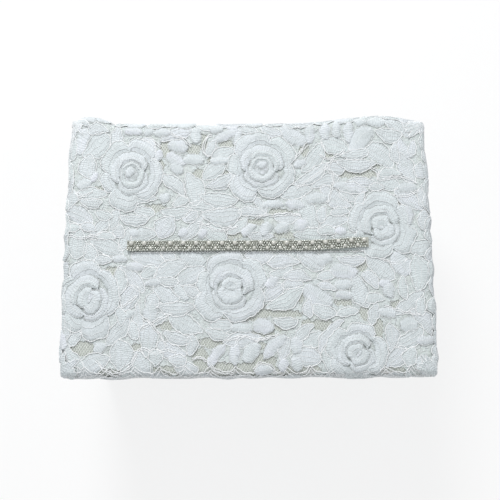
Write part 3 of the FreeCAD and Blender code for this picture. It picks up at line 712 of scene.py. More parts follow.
def edge_lobes(lace):
    """Leaves and buds along the rolled edge, which swell its outline at the back and the sides."""
    chance = random.Random(LOBE_SEED)
    roll = LID.half + 0.2 * LID.edge
    for along in (0, 1):
        count = round(2 * LID.half[along] / LOBE_PITCH)
        for side in (-1, 1):
            for i in range(count):
                flat = np.empty(2)
                flat[1 - along] = side * (roll[1 - along] + chance.uniform(-2, 1))
                flat[along] = (2 * (i + 0.5) / count - 1) * (LID.half[along] - 8) + chance.uniform(-3, 3)
                angle = 90 * along + chance.uniform(-20, 20)
                length, width = chance.uniform(*LOBE_LENGTHS), chance.uniform(*LOBE_WIDTHS)
                at_front = along == 0 and side < 0
                if at_front or openness(flat, LID_OPENINGS) < LOBE_CLEAR:
                    continue
                if chance.random() < LOBE_BUDS:
                    lace.bud(*flat, 0.8 * length, width, angle, crown=1.4, lift=0.3)
                else:
                    lace.leaf(*flat, length, width, angle, crown=1.5, lift=0.3)


def gather_folds(lace):
    """Folds that fan out of each top corner, where the cloth is gathered."""
    chance = random.Random(FOLD_SEED)
    for sign in ((-1, -1), (-1, 1), (1, -1), (1, 1)):
        corner = np.array(sign) * (LID.half - 2)
        for i in range(FOLDS):
            angle = 10 + 14 * i + chance.uniform(-4, 4)
            length = chance.uniform(*FOLD_LENGTHS)
            way = -np.array(sign) * direction(math.radians(angle))[0]
            middle = corner + way * (length / 2 - 3)
            lean = math.degrees(math.atan2(way[1], way[0]))
            width = chance.uniform(*FOLD_WIDTHS)
            lace.leaf(*middle, length, width, lean, bend=0.05, crown=1.5, lift=0.5)


def front_scallops(lace):
    """Hanging loops of cord along the front edge, three deep, with small leaves in the lowest."""
    pitch = 2 * LID.half[0] / FRONT_LOOPS
    t = np.linspace(0, 1, 14)
    sag = np.sin(math.pi * t) ** 0.7
    for i in range(FRONT_LOOPS):
        x = -LID.half[0] + (i + t) * pitch
        for start, depth in FRONT_CORDS:
            lace.cord(np.stack([x, start - depth * sag], -1), 0.3)
        for aside, lean in FRONT_LEAVES:
            flat = -LID.half[0] + (i + 0.5) * pitch + aside, FRONT_LEAF_Y + 0.04 * aside * aside
            if openness(np.array(flat), LID_OPENINGS) > FRONT_LEAF_CLEAR:
                lace.leaf(*flat, *FRONT_LEAF_SIZE, lean, crown=1.2, lift=0.2)


def draw_lid_top():
    """The lid top's lace: motifs placed from the photograph, its edges, and fillings between them."""
    lace = Lace()
    for draw, rows in ((lace.rose, LID_ROSES), (lace.leaf, LID_LEAVES), (lace.bud, LID_BUDS)):
        for row in rows:
            draw(*row)
    for row in LID_STEMS:
        lace.stem(row)
    gather_folds(lace)
    edge_lobes(lace)
    front_scallops(lace)
    reach = LID.half + LID.edge * (QUARTER - 1) + 2
    ground = Ground(-reach, reach)
    strip = np.array([(-1, -1), (1, -1), (1, 1), (-1, 1)]) * (TAPE_HALF - 1) + TAPE_MIDDLE
    cover_ground(ground, [*lace.outlines, strip], LID_OPENINGS)
    fill_gaps(lace, ground, LID_FILL_SEED)
    lace.warp(uneven)
    lace.warp(parted)
    return lace


def parted(flat):
    """Turns flat points in at the slit, so that nothing crosses it."""
    along = np.abs(flat[:, 0] - SLOT_MIDDLE[0]) < SLOT_REACH + SLIT_HALF
    side = -1 if flat[:, 1].mean() < SLIT_Y else 1
    inside = along & ((flat[:, 1] - SLIT_Y) * side < SLIT_HALF)
    kept = flat.copy()
    kept[inside, 1] = SLIT_Y + side * SLIT_HALF
    return kept


# One repeat of the lid walls: X is a share of the repeat and Y is from the middle, but for the openings.
WALL_ROSES = ((0.27, 0, 20, 20, 1, 1.0),)
WALL_LEAVES = (
    (0.56, 12, 22, 10, 35), (0.60, -8, 24, 11, -28), (0.80, 8, 24, 10, 150), (0.93, -9, 24, 11, 25),
    (0.77, -14, 18, 9, 175), (0.70, 21, 16, 8, 10), (0.98, 12, 20, 9, -40), (0.05, -15, 17, 8, 0),
    (0.02, 22, 18, 8, 170), (0.47, 21, 15, 8, 170), (0.46, -16, 15, 8, 15),
)
WALL_BUDS = (
    (0.68, 1, 13, 9, 70), (0.86, -1, 12, 9, 100), (0.90, 20, 12, 8, 30), (0.57, 22, 11, 8, 0),
    (0.66, -18, 11, 8, 20), (0.86, -18, 11, 8, -20), (0.13, 22, 11, 7, 10), (0.36, 24, 11, 7, 0),
)
WALL_STEM = ((0.5, 0), (0.6, 3), (0.75, -4), (0.9, 4), (1.02, 0))
WALL_OPENINGS = (
    (51, 128, 3, 6), (71, 112, 5, 3), (92, 128, 4, 3), (8, 120, 3, 5), (46, 112, 4, 3),
)

# One repeat of the base, likewise, with Y from the lower edge of the band.
BASE_ROSES = ((0.27, 0.3 * BAND_HEIGHT, 23, 0, 1, 1.0), (0.77, 0.72 * BAND_HEIGHT, 23, 140, -1, 1.0))
BASE_LEAVES = (
    (0.62, 12, 30, 12, 35), (0.86, 14, 30, 12, 145), (0.74, 28, 26, 12, 80), (0.62, 44, 24, 11, 150),
    (0.92, 42, 24, 11, 30), (0.12, 74, 30, 12, 20), (0.38, 76, 30, 12, 160), (0.25, 92, 28, 13, 95),
    (0.10, 112, 26, 11, 30), (0.40, 114, 26, 11, 150), (0.25, 124, 20, 9, 5), (0.70, 5, 18, 7, 175),
    (0.98, 6, 18, 8, 10), (0.02, 56, 24, 10, 80), (0.52, 58, 22, 10, 95), (0.52, 102, 20, 9, 60),
    (0.02, 100, 20, 9, 110), (0.48, 8, 18, 8, 160), (0.77, 126, 22, 8, 0), (0.98, 126, 14, 8, 170),
)
BASE_BUDS = (
    (0.74, 44, 12, 9, 90), (0.56, 28, 12, 9, 60), (0.94, 28, 12, 9, 120), (0.25, 74, 12, 9, 90),
    (0.12, 92, 12, 9, 60), (0.39, 94, 12, 9, 120), (0.02, 76, 10, 8, 0), (0.52, 80, 10, 8, 0),
    (0.50, 122, 12, 9, 20), (0.02, 32, 11, 8, 0), (0.60, 126, 10, 7, 0),
)
BASE_STEM = ((0, 64), (0.25, 62), (0.5, 70), (0.75, 55), (1, 64))
BASE_OPENINGS = (
    (52, 25, 4, 6), (72, 62, 6, 4), (4, 52, 4, 4), (24, 88, 4, 3),
    (50, 84, 4, 6), (12, 116, 5, 3), (40, 124, 5, 3), (90, 22, 4, 4), (62, 42, 3, 4),
)


def draw_repeat(tile, period, height, roses, leaves, buds, stem):
    """Draws motifs and a stem with X as a share of the period and Y above a height."""
    for draw, rows in ((tile.rose, roses), (tile.leaf, leaves), (tile.bud, buds)):
        for x, y, *shape in rows:
            draw(x * period, height + y, *shape)
    tile.stem([(x * period, height + y) for x, y in stem])


def lay_repeats(tile, period, low, high, openings, seed, count):
    """Fills the gaps of a tile between two heights, and lays copies of it side by side."""
    ground = Ground((0, low), (period, high))
    cover_ground(ground, tile.outlines, openings, period)
    fill_gaps(tile, ground, seed, period)
    lace = Lace()
    for i in range(count):
        tile.copy_to(lace, (i * period, 0))
    return lace


def cover_repeats(ground, outline, period):
    """Marks an outline on a ground, and again at both ends where there is a period."""
    for side in (-1, 0, 1) if period else (0,):
        ground.cover(outline + (side * period, 0))


def cover_ground(ground, outlines, openings, period=0):
    """Marks motifs and net openings on a ground."""
    turns = np.linspace(0, math.tau, 24, endpoint=False)
    ring = np.stack([np.cos(turns), np.sin(turns)], -1)
    holes = [ring * (half_x, half_y) + (x, y) for x, y, half_x, half_y in openings]
    for outline in outlines + holes:
        cover_repeats(ground, outline, period)


def draw_hem(lace):
    """Scalloped border: a crescent, two cords and a picot bud for each scallop."""
    pitch = LID.around / SCALLOPS
    t = np.linspace(0, 1, 18)
    arch = 1 - (2 * t - 1) ** 2
    bottom = LACE_HEM + HEM_DEPTH * (1 - arch)
    for i in range(SCALLOPS):
        x = (i + t) * pitch
        left = np.stack([x, bottom], -1)
        right = np.stack([x, bottom + HEM_CRESCENT * arch**0.5], -1)
        lace.blade(left, right, crown=0.9, lift=0.0)
        lace.cord(left, 0.3)
        lace.cord(np.stack([x, bottom + HEM_CORD], -1), 0.2)
        lace.bud((i + 0.5) * pitch, LACE_HEM + HEM_PICOT, 6, 5, 90, crown=1.1, lift=0.0)


def draw_lid_walls():
    """The lid walls' lace: a rose with leaves and buds in each repeat, above a scalloped hem."""
    period = LID.around / WALL_TILES
    low, high = LACE_HEM, LID.top - LID.edge
    middle = (low + high) / 2 + 3
    tile = Lace()
    draw_repeat(tile, period, middle, WALL_ROSES, WALL_LEAVES, WALL_BUDS, WALL_STEM)
    lace = lay_repeats(tile, period, low + 9, high, WALL_OPENINGS, WALL_FILL_SEED, WALL_TILES)
    draw_hem(lace)
    lace.warp(uneven)
    return lace


def draw_base():
    """The base's lace: two staggered roses in each repeat, with leaves and buds between."""
    period = BASE.around / BASE_TILES
    low, high = BAND_LOW[2], BAND_HIGH[2]
    tile = Lace(BASE_SPACING)
    draw_repeat(tile, period, low, BASE_ROSES, BASE_LEAVES, BASE_BUDS, BASE_STEM)
    lace = lay_repeats(tile, period, low, high, BASE_OPENINGS, BASE_FILL_SEED, BASE_TILES)
    x = np.linspace(0, BASE.around, BAND_CORD_POINTS)
    for z in (low + BAND_CORD_INSET, high - BAND_CORD_INSET):
        lace.cord(np.stack([x, np.full(len(x), z)], -1), 0.5)
    lace.warp(uneven)
    lace.warp(within_band)
    return lace


def within_band(flat):
    """Keeps flat points between the edges of the base's band."""
    height = np.clip(flat[:, 1], BAND_LOW[2] + BAND_MARGIN, BAND_HIGH[2] - BAND_MARGIN)
    return np.stack([flat[:, 0], height], -1)


class Ground:
    """Where a drawing covers its ground, in small cells, so that net fills only the rest."""

    def __init__(self, low, high):
        self.low = np.asarray(low, float)
        self.shape = np.ceil((np.asarray(high) - self.low) / CELL).astype(int) + 1
        self.taken = np.zeros(self.shape, bool)

    def cover(self, outline):
        """Marks the cells inside a closed outline."""
        first = np.clip(((outline.min(0) - self.low) / CELL).astype(int), 0, self.shape)
        last = np.clip(((outline.max(0) - self.low) / CELL).astype(int) + 2, 0, self.shape)
        if (last <= first).any():
            return
        x = self.low[0] + CELL * np.arange(first[0], last[0])[:, None, None]
        y = self.low[1] + CELL * np.arange(first[1], last[1])[None, :, None]
        a, b = outline, np.roll(outline, -1, axis=0)
        rise = np.where(np.abs(b[:, 1] - a[:, 1]) < 1e-9, 1e-9, b[:, 1] - a[:, 1])
        crossing = (a[:, 1] > y) != (b[:, 1] > y)
        at = a[:, 0] + (y - a[:, 1]) * (b[:, 0] - a[:, 0]) / rise
        inside = (crossing & (x < at)).sum(-1) % 2 == 1
        self.taken[first[0]:last[0], first[1]:last[1]] |= inside

    def steps(self, limit):
        """How many cells each cell lies from the nearest covered one, up to a limit."""
        level = np.where(self.taken, 0, limit)
        reached = self.taken
        for n in range(1, limit):
            grown = reached.copy()
            grown[1:] |= reached[:-1]
            grown[:-1] |= reached[1:]
            if n % 2:
                reached, grown = grown, grown.copy()
            grown[:, 1:] |= reached[:, :-1]
            grown[:, :-1] |= reached[:, 1:]
            level[grown & (level == limit)] = n
            reached = grown
        return level

    def is_open(self, flat):
        """Whether flat points lie within the ground and on a free cell."""
        cell = np.rint((flat - self.low) / CELL).astype(int)
        within = ((cell >= 0) & (cell < self.shape)).all(-1)
        cell = np.clip(cell, 0, self.shape - 1)
        return within & ~self.taken[cell[:, 0], cell[:, 1]]


def net_threads(ground, allowed):
    """Two sets of crossing threads, broken where clothwork covers them."""
    size = ground.shape * CELL
    middle = ground.low + size / 2
    reach = np.hypot(*size) / 2
    along = np.arange(-reach, reach, NET_STEP)
    threads = []
    for lean in (NET_LEAN, -NET_LEAN):
        way, aside = direction(lean)
        for offset in np.arange(-reach, reach, NET_PITCH):
            flat = middle + offset * aside + np.outer(along, way)
            shown = ground.is_open(flat) & allowed(flat)
            edges = np.flatnonzero(np.diff(np.concatenate([[0], shown.astype(int), [0]])))
            for start, end in zip(edges[::2], edges[1::2]):
                first, last = max(start - 1, 0), min(end + 1, len(flat))
                if last - first > 2:
                    picked = np.unique(np.append(np.arange(first, last, NET_EVERY), last - 1))
                    threads.append(flat[picked])
    return threads


def fill_gaps(lace, ground, seed, period=0):
    """Leaves and buds in the places that a drawing leaves free, then scrolls of fine cord between them."""
    chance = random.Random(seed)
    for narrowest, add in ((FILL_NARROWEST, add_filler), (SCROLL_NARROWEST, add_scroll)):
        for _ in range(FILL_ROUNDS):
            level = ground.steps(FILL_WIDEST)
            spots = np.argwhere(level >= narrowest)
            spots = spots[np.argsort(-level[tuple(spots.T)], kind="stable")]
            placed = []
            for spot in spots:
                flat = ground.low + CELL * spot
                if all(np.hypot(*(flat - other)) > FILL_APART for other in placed):
                    placed.append(flat)
                    outline = add(lace, ground, flat, level[tuple(spot)] * CELL, chance)
                    cover_repeats(ground, outline, period)
                if len(placed) >= FILL_BATCH:
                    break
            if not placed:
                break


def longest_way(ground, flat, chance):
    """Length, direction and offset of the longest free way through a spot."""
    reach = np.arange(1, FEELER_STEPS + 1) * FEELER_STEP
    best = (0, 0, 0)
    for i in range(FEELERS):
        angle = math.radians(180 / FEELERS * i + chance.uniform(-8, 8))
        way = direction(angle)[0]
        runs = []
        for side in (1, -1):
            free = ground.is_open(flat + side * np.outer(reach, way))
            runs.append(FEELER_STEP * (len(free) if free.all() else int(np.argmin(free))))
        best = max(best, (sum(runs), angle, (runs[0] - runs[1]) / 2))
    run, angle, shift = best
    return run, angle, max(-FEELER_SHIFT, min(FEELER_SHIFT, shift))


def add_filler(lace, ground, flat, room, chance):
    """One leaf or bud, turned to lie along the longest free way through a spot."""
    run, angle, shift = longest_way(ground, flat, chance)
    width = room * chance.uniform(2.0, 2.5)
    length = min(max(run * 1.05, 1.4 * width), 3.0 * width)
    x, y = flat + shift * direction(angle)[0]
    if chance.random() < FILL_BUDS:
        lace.bud(x, y, length * 0.85, width, math.degrees(angle), crown=0.9, lift=-0.15)
    else:
        turn = math.degrees(angle) + chance.choice((0, 180))
        lace.leaf(x, y, length, width, turn, chance.uniform(-0.12, 0.12), crown=0.6, lift=-0.2)
    return lace.outlines[-1]


def add_scroll(lace, ground, flat, room, chance):
    """A short wavy run of fine cord on the bare ground."""
    run, angle, shift = longest_way(ground, flat, chance)
    run = min(max(run, 2 * room), SCROLL_LONGEST)
    ahead, aside = direction(angle)
    along = np.linspace(-run / 2, run / 2, max(5, int(run / 0.9)))
    wave = 0.4 * room * np.sin(math.tau * along / SCROLL_WAVE + chance.uniform(0, math.tau))
    path = flat + shift * ahead + np.outer(along, ahead) + np.outer(wave, aside)
    lace.cord(path, -0.05, fine=True)
    return np.concatenate([path + 0.9 * aside, path[::-1] - 0.9 * aside])


# Cloth ground of the lace, with net openings


def openness(flat, openings, period=None):
    """Roughly how far flat points lie outside the nearest opening, in millimetres."""
    x, y = flat[..., 0], flat[..., 1]
    nearest = np.full(x.shape, FAR_OUTSIDE)
    for middle_x, middle_y, half_x, half_y in openings:
        across = x - middle_x
        if period:
            across = np.mod(across + period / 2, period) - period / 2
        away = np.hypot(across / half_x, (y - middle_y) / half_y)
        nearest = np.minimum(nearest, (away - 1) * min(half_x, half_y))
    return nearest - NET_MARGIN + 0.6 * np.sin(1.1 * x + 2 * np.sin(0.5 * y))


def joined_cells(kept):
    """Fills cells so that no two kept cells meet only at a corner."""
    kept = kept.copy()
    for _ in range(JOIN_ROUNDS):
        a, b, c, d = kept[:-1, :-1], kept[1:, :-1], kept[:-1, 1:], kept[1:, 1:]
        fall = a & d & ~b & ~c
        rise = b & c & ~a & ~d
        kept[1:, :-1] |= fall
        kept[:-1, :-1] |= rise
    return kept


def cloth_sheet(name, low, high, step, measure, place, outlines):
    """A thin sheet over the flat cells where a measure is above zero, trimmed to where it is zero."""
    low, high = np.asarray(low, float), np.asarray(high, float)
    cells = np.rint((high - low) / step).astype(int)
    xs, ys = (np.linspace(low[i], high[i], cells[i] + 1) for i in (0, 1))
    grid = np.stack(np.meshgrid(xs, ys, indexing="ij"), -1)
    middles = (grid[:-1, :-1] + grid[1:, 1:]) / 2
    kept = joined_cells(measure(middles) > 0)
    flat = trimmed(grid, step, measure).reshape(-1, 2)
    number = np.arange(len(flat)).reshape(grid.shape[:2])
    ring = np.stack([number[:-1, :-1], number[1:, :-1], number[1:, 1:], number[:-1, 1:]], -1)[kept]
    used, ring = np.unique(ring, return_inverse=True)
    ring = ring.reshape(-1, 4)
    count = len(used)
    top = np.concatenate([ring[:, (0, 1, 2)], ring[:, (0, 2, 3)]])
    below = top[:, ::-1] + count
    edges = np.stack([ring, np.roll(ring, -1, axis=1)], -1).reshape(-1, 2)
    code = edges[:, 0] * count + edges[:, 1]
    open_edge = edges[~np.isin(code, edges[:, 1] * count + edges[:, 0])]
    a, b = open_edge.T
    sides = np.concatenate([np.stack([a + count, b + count, b], -1), np.stack([a + count, b, a], -1)])
    flat = flat[used]
    swell = CLOTH_TOP + CLOTH_SWELL * rolling(flat)
    points = np.concatenate([place(flat, swell), place(flat, swell - CLOTH)])
    mesh = triangle_mesh(name, points, np.concatenate([top, below, sides]), CLOTH_CREASE)
    ground = Ground(low, high)
    for outline in outlines:
        ground.cover(outline)
    cell = np.clip(np.rint((flat - low) / CELL).astype(int), 0, ground.shape - 1)
    # Painted shade: how near each point lies to a motif's outline, which darkens the ground's colour there.
    shade_beside_motifs = 1 - ground.steps(SHADE_STEPS)[tuple(cell.T)] / SHADE_STEPS
    mesh.attributes.new("shade_beside_motifs", "FLOAT", "POINT").data.foreach_set("value", np.tile(shade_beside_motifs, 2))
    return add_piece(mesh, GROUND_CLOTH)


def trimmed(grid, step, measure):
    """Draws grid points that lie close to a measure's zero line onto that line."""
    value = measure(grid)
    tiny = 0.2
    slope = np.stack([measure(grid + (tiny, 0)) - value, measure(grid + (0, tiny)) - value], -1) / tiny
    steep = np.maximum((slope**2).sum(-1), 0.05)
    shift = -value[..., None] * slope / steep[..., None]
    near = (np.abs(value) < 0.75 * step)[..., None]
    return grid + np.where(near, np.clip(shift, -0.6 * step, 0.6 * step), 0)


def rolling(flat):
    """Soft puckers of cloth that is caught down by the embroidery, from -1 to 1."""
    x, y = flat[..., 0], flat[..., 1]
    slow = np.sin(0.42 * x + 1.4 * np.sin(0.31 * y)) * np.sin(0.47 * y + 1.2 * np.sin(0.27 * x))
    quick = np.sin(1.3 * x + 2.1 * np.sin(0.6 * y)) * np.sin(0.9 * y + 0.7)
    return 0.6 * slow + 0.4 * quick


# Geometry Nodes trees


def set_inputs(tree, node, inputs):
    """Links a node's inputs to sockets, or gives them plain values."""
    for name, value in inputs.items():
        if isinstance(value, bpy.types.NodeSocket):
            tree.links.new(value, node.inputs[name])
        else:
            node.inputs[name].default_value = value


def add_node(tree, kind, inputs=None, **settings):
    """Adds a node, sets its properties, and sets or links its inputs by name or number."""
    node = tree.nodes.new(kind)
    for name, value in settings.items():
        setattr(node, name, value)
    set_inputs(tree, node, inputs or {})
    return node


def new_tree(name, sockets):
    """An empty Geometry Nodes tree with named inputs, and its group nodes."""
    tree = bpy.data.node_groups.new(name, "GeometryNodeTree")
    tree.interface.new_socket("Geometry", in_out="INPUT", socket_type="NodeSocketGeometry")
    for label, kind in sockets:
        tree.interface.new_socket(label, in_out="INPUT", socket_type=kind)
    tree.interface.new_socket("Geometry", in_out="OUTPUT", socket_type="NodeSocketGeometry")
    return tree, tree.nodes.new("NodeGroupInput").outputs, tree.nodes.new("NodeGroupOutput").inputs


def finish_tree(tree, geometry, material, output):
    """Realises instances and sets the material at the end of a tree."""
    real = add_node(tree, "GeometryNodeRealizeInstances", {"Geometry": geometry})
    painted = add_node(tree, "GeometryNodeSetMaterial", {"Geometry": real.outputs[0], "Material": material})
    tree.links.new(painted.outputs[0], output["Geometry"])


def make_thread_tree():
    """Round threads along the edges of a mesh."""
    sockets = (("Radius", "NodeSocketFloat"), ("Sides", "NodeSocketInt"), ("Material", "NodeSocketMaterial"))
    tree, given, output = new_tree("thread_along_edges", sockets)
    curve = add_node(tree, "GeometryNodeMeshToCurve", {"Mesh": given["Geometry"]})
    section = add_node(tree, "GeometryNodeCurvePrimitiveCircle",
                       {"Resolution": given["Sides"], "Radius": given["Radius"]})
    tube = add_node(tree, "GeometryNodeCurveToMesh",
                    {"Curve": curve.outputs[0], "Profile Curve": section.outputs[0], "Fill Caps": True})
    smooth = add_node(tree, "GeometryNodeSetShadeSmooth", {"Geometry": tube.outputs[0], "Shade Smooth": True})
    finish_tree(tree, smooth.outputs[0], given["Material"], output)
    return tree


def make_bead_tree():
    """A smooth bead at every point, scaled by the point's own size and turned at random."""
    sockets = (("Segments", "NodeSocketInt"), ("Rings", "NodeSocketInt"), ("Seed", "NodeSocketInt"),
               ("Material", "NodeSocketMaterial"))
    tree, given, output = new_tree("bead_at_points", sockets)
    ball = add_node(tree, "GeometryNodeMeshUVSphere",
                    {"Segments": given["Segments"], "Rings": given["Rings"], "Radius": 0.5})
    shaded = add_node(tree, "GeometryNodeSetShadeSmooth", {"Geometry": ball.outputs[0], "Shade Smooth": True})
    size = add_node(tree, "GeometryNodeInputNamedAttribute", {"Name": "size"}, data_type="FLOAT")
    turn = add_node(tree, "FunctionNodeRandomValue", {"Seed": given["Seed"], "Max": (math.tau,) * 3},
                    data_type="FLOAT_VECTOR")
    turned = add_node(tree, "FunctionNodeEulerToRotation", {"Euler": turn.outputs[0]})
    beads = add_node(tree, "GeometryNodeInstanceOnPoints",
                     {"Points": given["Geometry"], "Instance": shaded.outputs[0],
                      "Rotation": turned.outputs[0], "Scale": size.outputs[0]})
    finish_tree(tree, beads.outputs[0], given["Material"], output)
    return tree


def evaluated_mesh(piece):
    """A plain mesh of a piece with its modifiers applied."""
    depsgraph = bpy.context.evaluated_depsgraph_get()
    return bpy.data.meshes.new_from_object(piece.evaluated_get(depsgraph), depsgraph=depsgraph)


def run_tree(name, mesh, tree, values):
    """Runs a tree on a mesh and keeps the result as a plain mesh object."""
    source = add_object(f"{name}_source", mesh)
    modifier = source.modifiers.new("tree", "NODES")
    modifier.node_group = tree
    names = {item.name: item.identifier for item in tree.interface.items_tree if item.in_out == "INPUT"}
    for label, value in values.items():
        modifier[names[label]] = value
    made = evaluated_mesh(source)
    made.name = name
    bpy.data.objects.remove(source)
    return add_object(name, made)


def edge_mesh(name, paths):
    """A mesh of loose edges along paths of points in millimetres."""
    points = np.concatenate(paths) * MM
    ends = np.cumsum([len(p) for p in paths])
    links = np.arange(len(points) - 1)
    links = links[~np.isin(links, ends - 1)]
    mesh = bpy.data.meshes.new(name)
    mesh.from_pydata(points.tolist(), np.stack([links, links + 1], -1).tolist(), [])
    return mesh


def point_mesh(name, points, sizes):
    """A mesh of loose points in millimetres, each with a size in metres."""
    mesh = bpy.data.meshes.new(name)
    mesh.from_pydata((np.asarray(points) * MM).tolist(), [], [])
    mesh.attributes.new("size", "FLOAT", "POINT").data.foreach_set("value", np.asarray(sizes) * MM)
    return mesh


# Shader groups and materials


def new_group(name, inputs, outputs):
    """A shader node group with named sockets, which take colours or numbers by their names."""
    tree = bpy.data.node_groups.new(name, "ShaderNodeTree")
    for way, labels in (("INPUT", inputs), ("OUTPUT", outputs)):
        for label in labels:
            kind = "NodeSocketColor" if label.endswith("Colour") else "NodeSocketFloat"
            tree.interface.new_socket(label, in_out=way, socket_type=kind)
    return tree, tree.nodes.new("NodeGroupInput").outputs, tree.nodes.new("NodeGroupOutput").inputs


def object_place(tree):
    """The piece's own place in space, for textures."""
    return add_node(tree, "ShaderNodeTexCoord").outputs["Object"]


def attribute(tree, name, output="Fac"):
    """An attribute of the mesh."""
    return add_node(tree, "ShaderNodeAttribute", attribute_name=name).outputs[output]


def noise(tree, place, scale, detail=2.0, roughness=0.5):
    """Soft random patches."""
    values = {"Vector": place, "Scale": scale, "Detail": detail, "Roughness": roughness}
    return add_node(tree, "ShaderNodeTexNoise", values).outputs["Fac"]


def waves(tree, place, scale, distortion, way):
    """Wandering bands across one direction."""
    values = {"Vector": place, "Scale": scale, "Distortion": distortion}
    return add_node(tree, "ShaderNodeTexWave", values, bands_direction=way).outputs["Fac"]


def spread(tree, value, low, high, to_low=0.0, to_high=1.0):
    """Stretches a range of values to another range."""
    values = {"Value": value, "From Min": low, "From Max": high, "To Min": to_low, "To Max": to_high}
    return add_node(tree, "ShaderNodeMapRange", values).outputs[0]


def maths(tree, operation, *values):
    """The result of an operation on sockets and plain numbers."""
    return add_node(tree, "ShaderNodeMath", dict(enumerate(values)), operation=operation).outputs[0]


def mix_colours(tree, factor, first, second):
    """A mix of two colours, each a socket or a plain colour."""
    return add_node(tree, "ShaderNodeMix", {0: factor, 6: first, 7: second}, data_type="RGBA").outputs[2]


def mix_shaders(tree, factor, first, second):
    """A mix of two shaders."""
    return add_node(tree, "ShaderNodeMixShader", {0: factor, 1: first, 2: second}).outputs[0]


def make_tint_group():
    """Soft patches of a second colour, as in hand-worked cloth."""
    tree, given, output = new_group("soft_patches", ("Colour", "Patch Colour", "Scale"), ("Colour",))
    patches = spread(tree, noise(tree, object_place(tree), given["Scale"], detail=4.0), low=0.35, high=0.7)
    mixed = mix_colours(tree, patches, given["Colour"], given["Patch Colour"])
    tree.links.new(mixed, output["Colour"])
    return tree


def make_pinhole_group():
    """Small gaps between looped threads: a darker colour in them, and a height."""
    inputs = ("Colour", "Gap Colour", "Scale", "Amount")
    tree, given, output = new_group("thread_pinholes", inputs, ("Colour", "Height"))
    place = object_place(tree)
    cells = add_node(tree, "ShaderNodeTexVoronoi", {"Vector": place, "Scale": given["Scale"]})
    gap = spread(tree, cells.outputs["Distance"], low=0.5, high=0.1, to_high=given["Amount"])
    share = spread(tree, noise(tree, place, scale=170.0), low=0.3, high=0.65)
    shown = maths(tree, "MULTIPLY", gap, share)
    tree.links.new(mix_colours(tree, shown, given["Colour"], given["Gap Colour"]), output["Colour"])
    tree.links.new(cells.outputs["Distance"], output["Height"])
    return tree


def make_weave_group():
    """Warp and weft with slubs, as a height."""
    tree, given, output = new_group("weave", ("Scale",), ("Height",))
    place = object_place(tree)
    threads = [waves(tree, place, given["Scale"], THREAD_WANDER, way) for way in ("X", "Y", "Z")]
    woven = maths(tree, "MAXIMUM", maths(tree, "MAXIMUM", threads[0], threads[1]), threads[2])
    slubs = noise(tree, place, scale=300.0)
    tree.links.new(maths(tree, "MULTIPLY_ADD", slubs, SLUB, woven), output["Height"])
    return tree


def titled(values):
    """Socket names made from Python names, such as Sheen Weight from sheen_weight."""
    return {label.replace("_", " ").title(): value for label, value in values.items()}


def new_material(name, **values):
    """A Principled material with plain values, its tree and its shader."""
    material = bpy.data.materials.new(name)
    material.use_nodes = True
    shader = material.node_tree.nodes["Principled BSDF"]
    set_inputs(material.node_tree, shader, titled(values))
    return material, material.node_tree, shader


def place_group(tree, group, **values):
    """Outputs of a shader group that is put into a material with its own values and links."""
    return add_node(tree, "ShaderNodeGroup", titled(values), node_tree=group).outputs


def tinted(tree, colour, patch, scale):
    """A colour with soft patches of another."""
    return place_group(tree, TINT, colour=colour, patch_colour=patch, scale=scale)["Colour"]


def dress(tree, shader, colour, height, strength, depth):
    """Gives a shader a colour and a bump, whose depth is in metres."""
    bump = add_node(tree, "ShaderNodeBump", {"Height": height, "Strength": strength, "Distance": depth})
    set_inputs(tree, shader, {"Base Color": colour, "Normal": bump.outputs[0]})


WHITE = (1, 1, 1, 1)
LACE_WHITE = (0.75, 0.775, 0.835, 1)
LACE_GREEN = (0.68, 0.745, 0.75, 1)
LACE_SHADE = (0.62, 0.67, 0.68, 1)
GROUND_GREEN = (0.64, 0.69, 0.66, 1)
# Dark grey-green of pinholes and stitch holes, also used as painted shade beside and between motifs.
HOLE_AND_SHADE_COLOUR = (0.42, 0.455, 0.45, 1)
SLUB = 0.3
THREAD_WANDER = 1.2
FIBRE_SHARE = 3.0
# How far the painted shade darkens the ground beside the motifs.
SHADE_SHARE = 0.45


def make_clothwork_material():
    """Lace clothwork: ribs of thread across each motif, its own tone, and dotted dark marks at its rim:
    stitch holes with painted shade along the edges of motifs.
    """
    material, tree, shader = new_material("lace_clothwork", roughness=0.62, sheen_weight=0.1)
    own = mix_colours(tree, attribute(tree, "tone"), LACE_GREEN, LACE_WHITE)
    patches = tinted(tree, own, LACE_SHADE, scale=90.0)
    grain = place_group(tree, PINHOLES, colour=patches, gap_colour=HOLE_AND_SHADE_COLOUR, scale=620.0, amount=0.35)
    # Dotted dark marks at the rims and over hollow hearts: stitch holes with painted shade.
    dots = spread(tree, noise(tree, object_place(tree), scale=330.0), low=0.4, high=0.55)
    holes = maths(tree, "MULTIPLY", attribute(tree, "rim"), dots)
    colour = mix_colours(tree, holes, grain["Colour"], HOLE_AND_SHADE_COLOUR)
    thread = attribute(tree, "thread", "Vector")
    ribs = waves(tree, thread, scale=0.19, distortion=5.5, way="X")
    fibres = noise(tree, thread, scale=0.36, detail=4.0)
    height = maths(tree, "MULTIPLY_ADD", fibres, FIBRE_SHARE, ribs)
    dress(tree, shader, colour, height, strength=0.5, depth=0.0005)
    return material


def make_ground_material():
    """The lace's cloth ground: fine looped mesh, darkened beside the motifs with painted shade, which also
    stands for more open net there.
    """
    material, tree, shader = new_material("lace_ground", roughness=0.7)
    patches = tinted(tree, LACE_GREEN, GROUND_GREEN, scale=120.0)
    # Painted shade beside the motifs, mixed towards the dark colour.
    beside = maths(tree, "MULTIPLY", attribute(tree, "shade_beside_motifs"), SHADE_SHARE)
    colour = mix_colours(tree, beside, patches, HOLE_AND_SHADE_COLOUR)
    mesh = place_group(tree, PINHOLES, colour=colour, gap_colour=HOLE_AND_SHADE_COLOUR, scale=480.0, amount=0.75)
    dress(tree, shader, mesh["Colour"], mesh["Height"], strength=0.8, depth=0.0006)
    return material


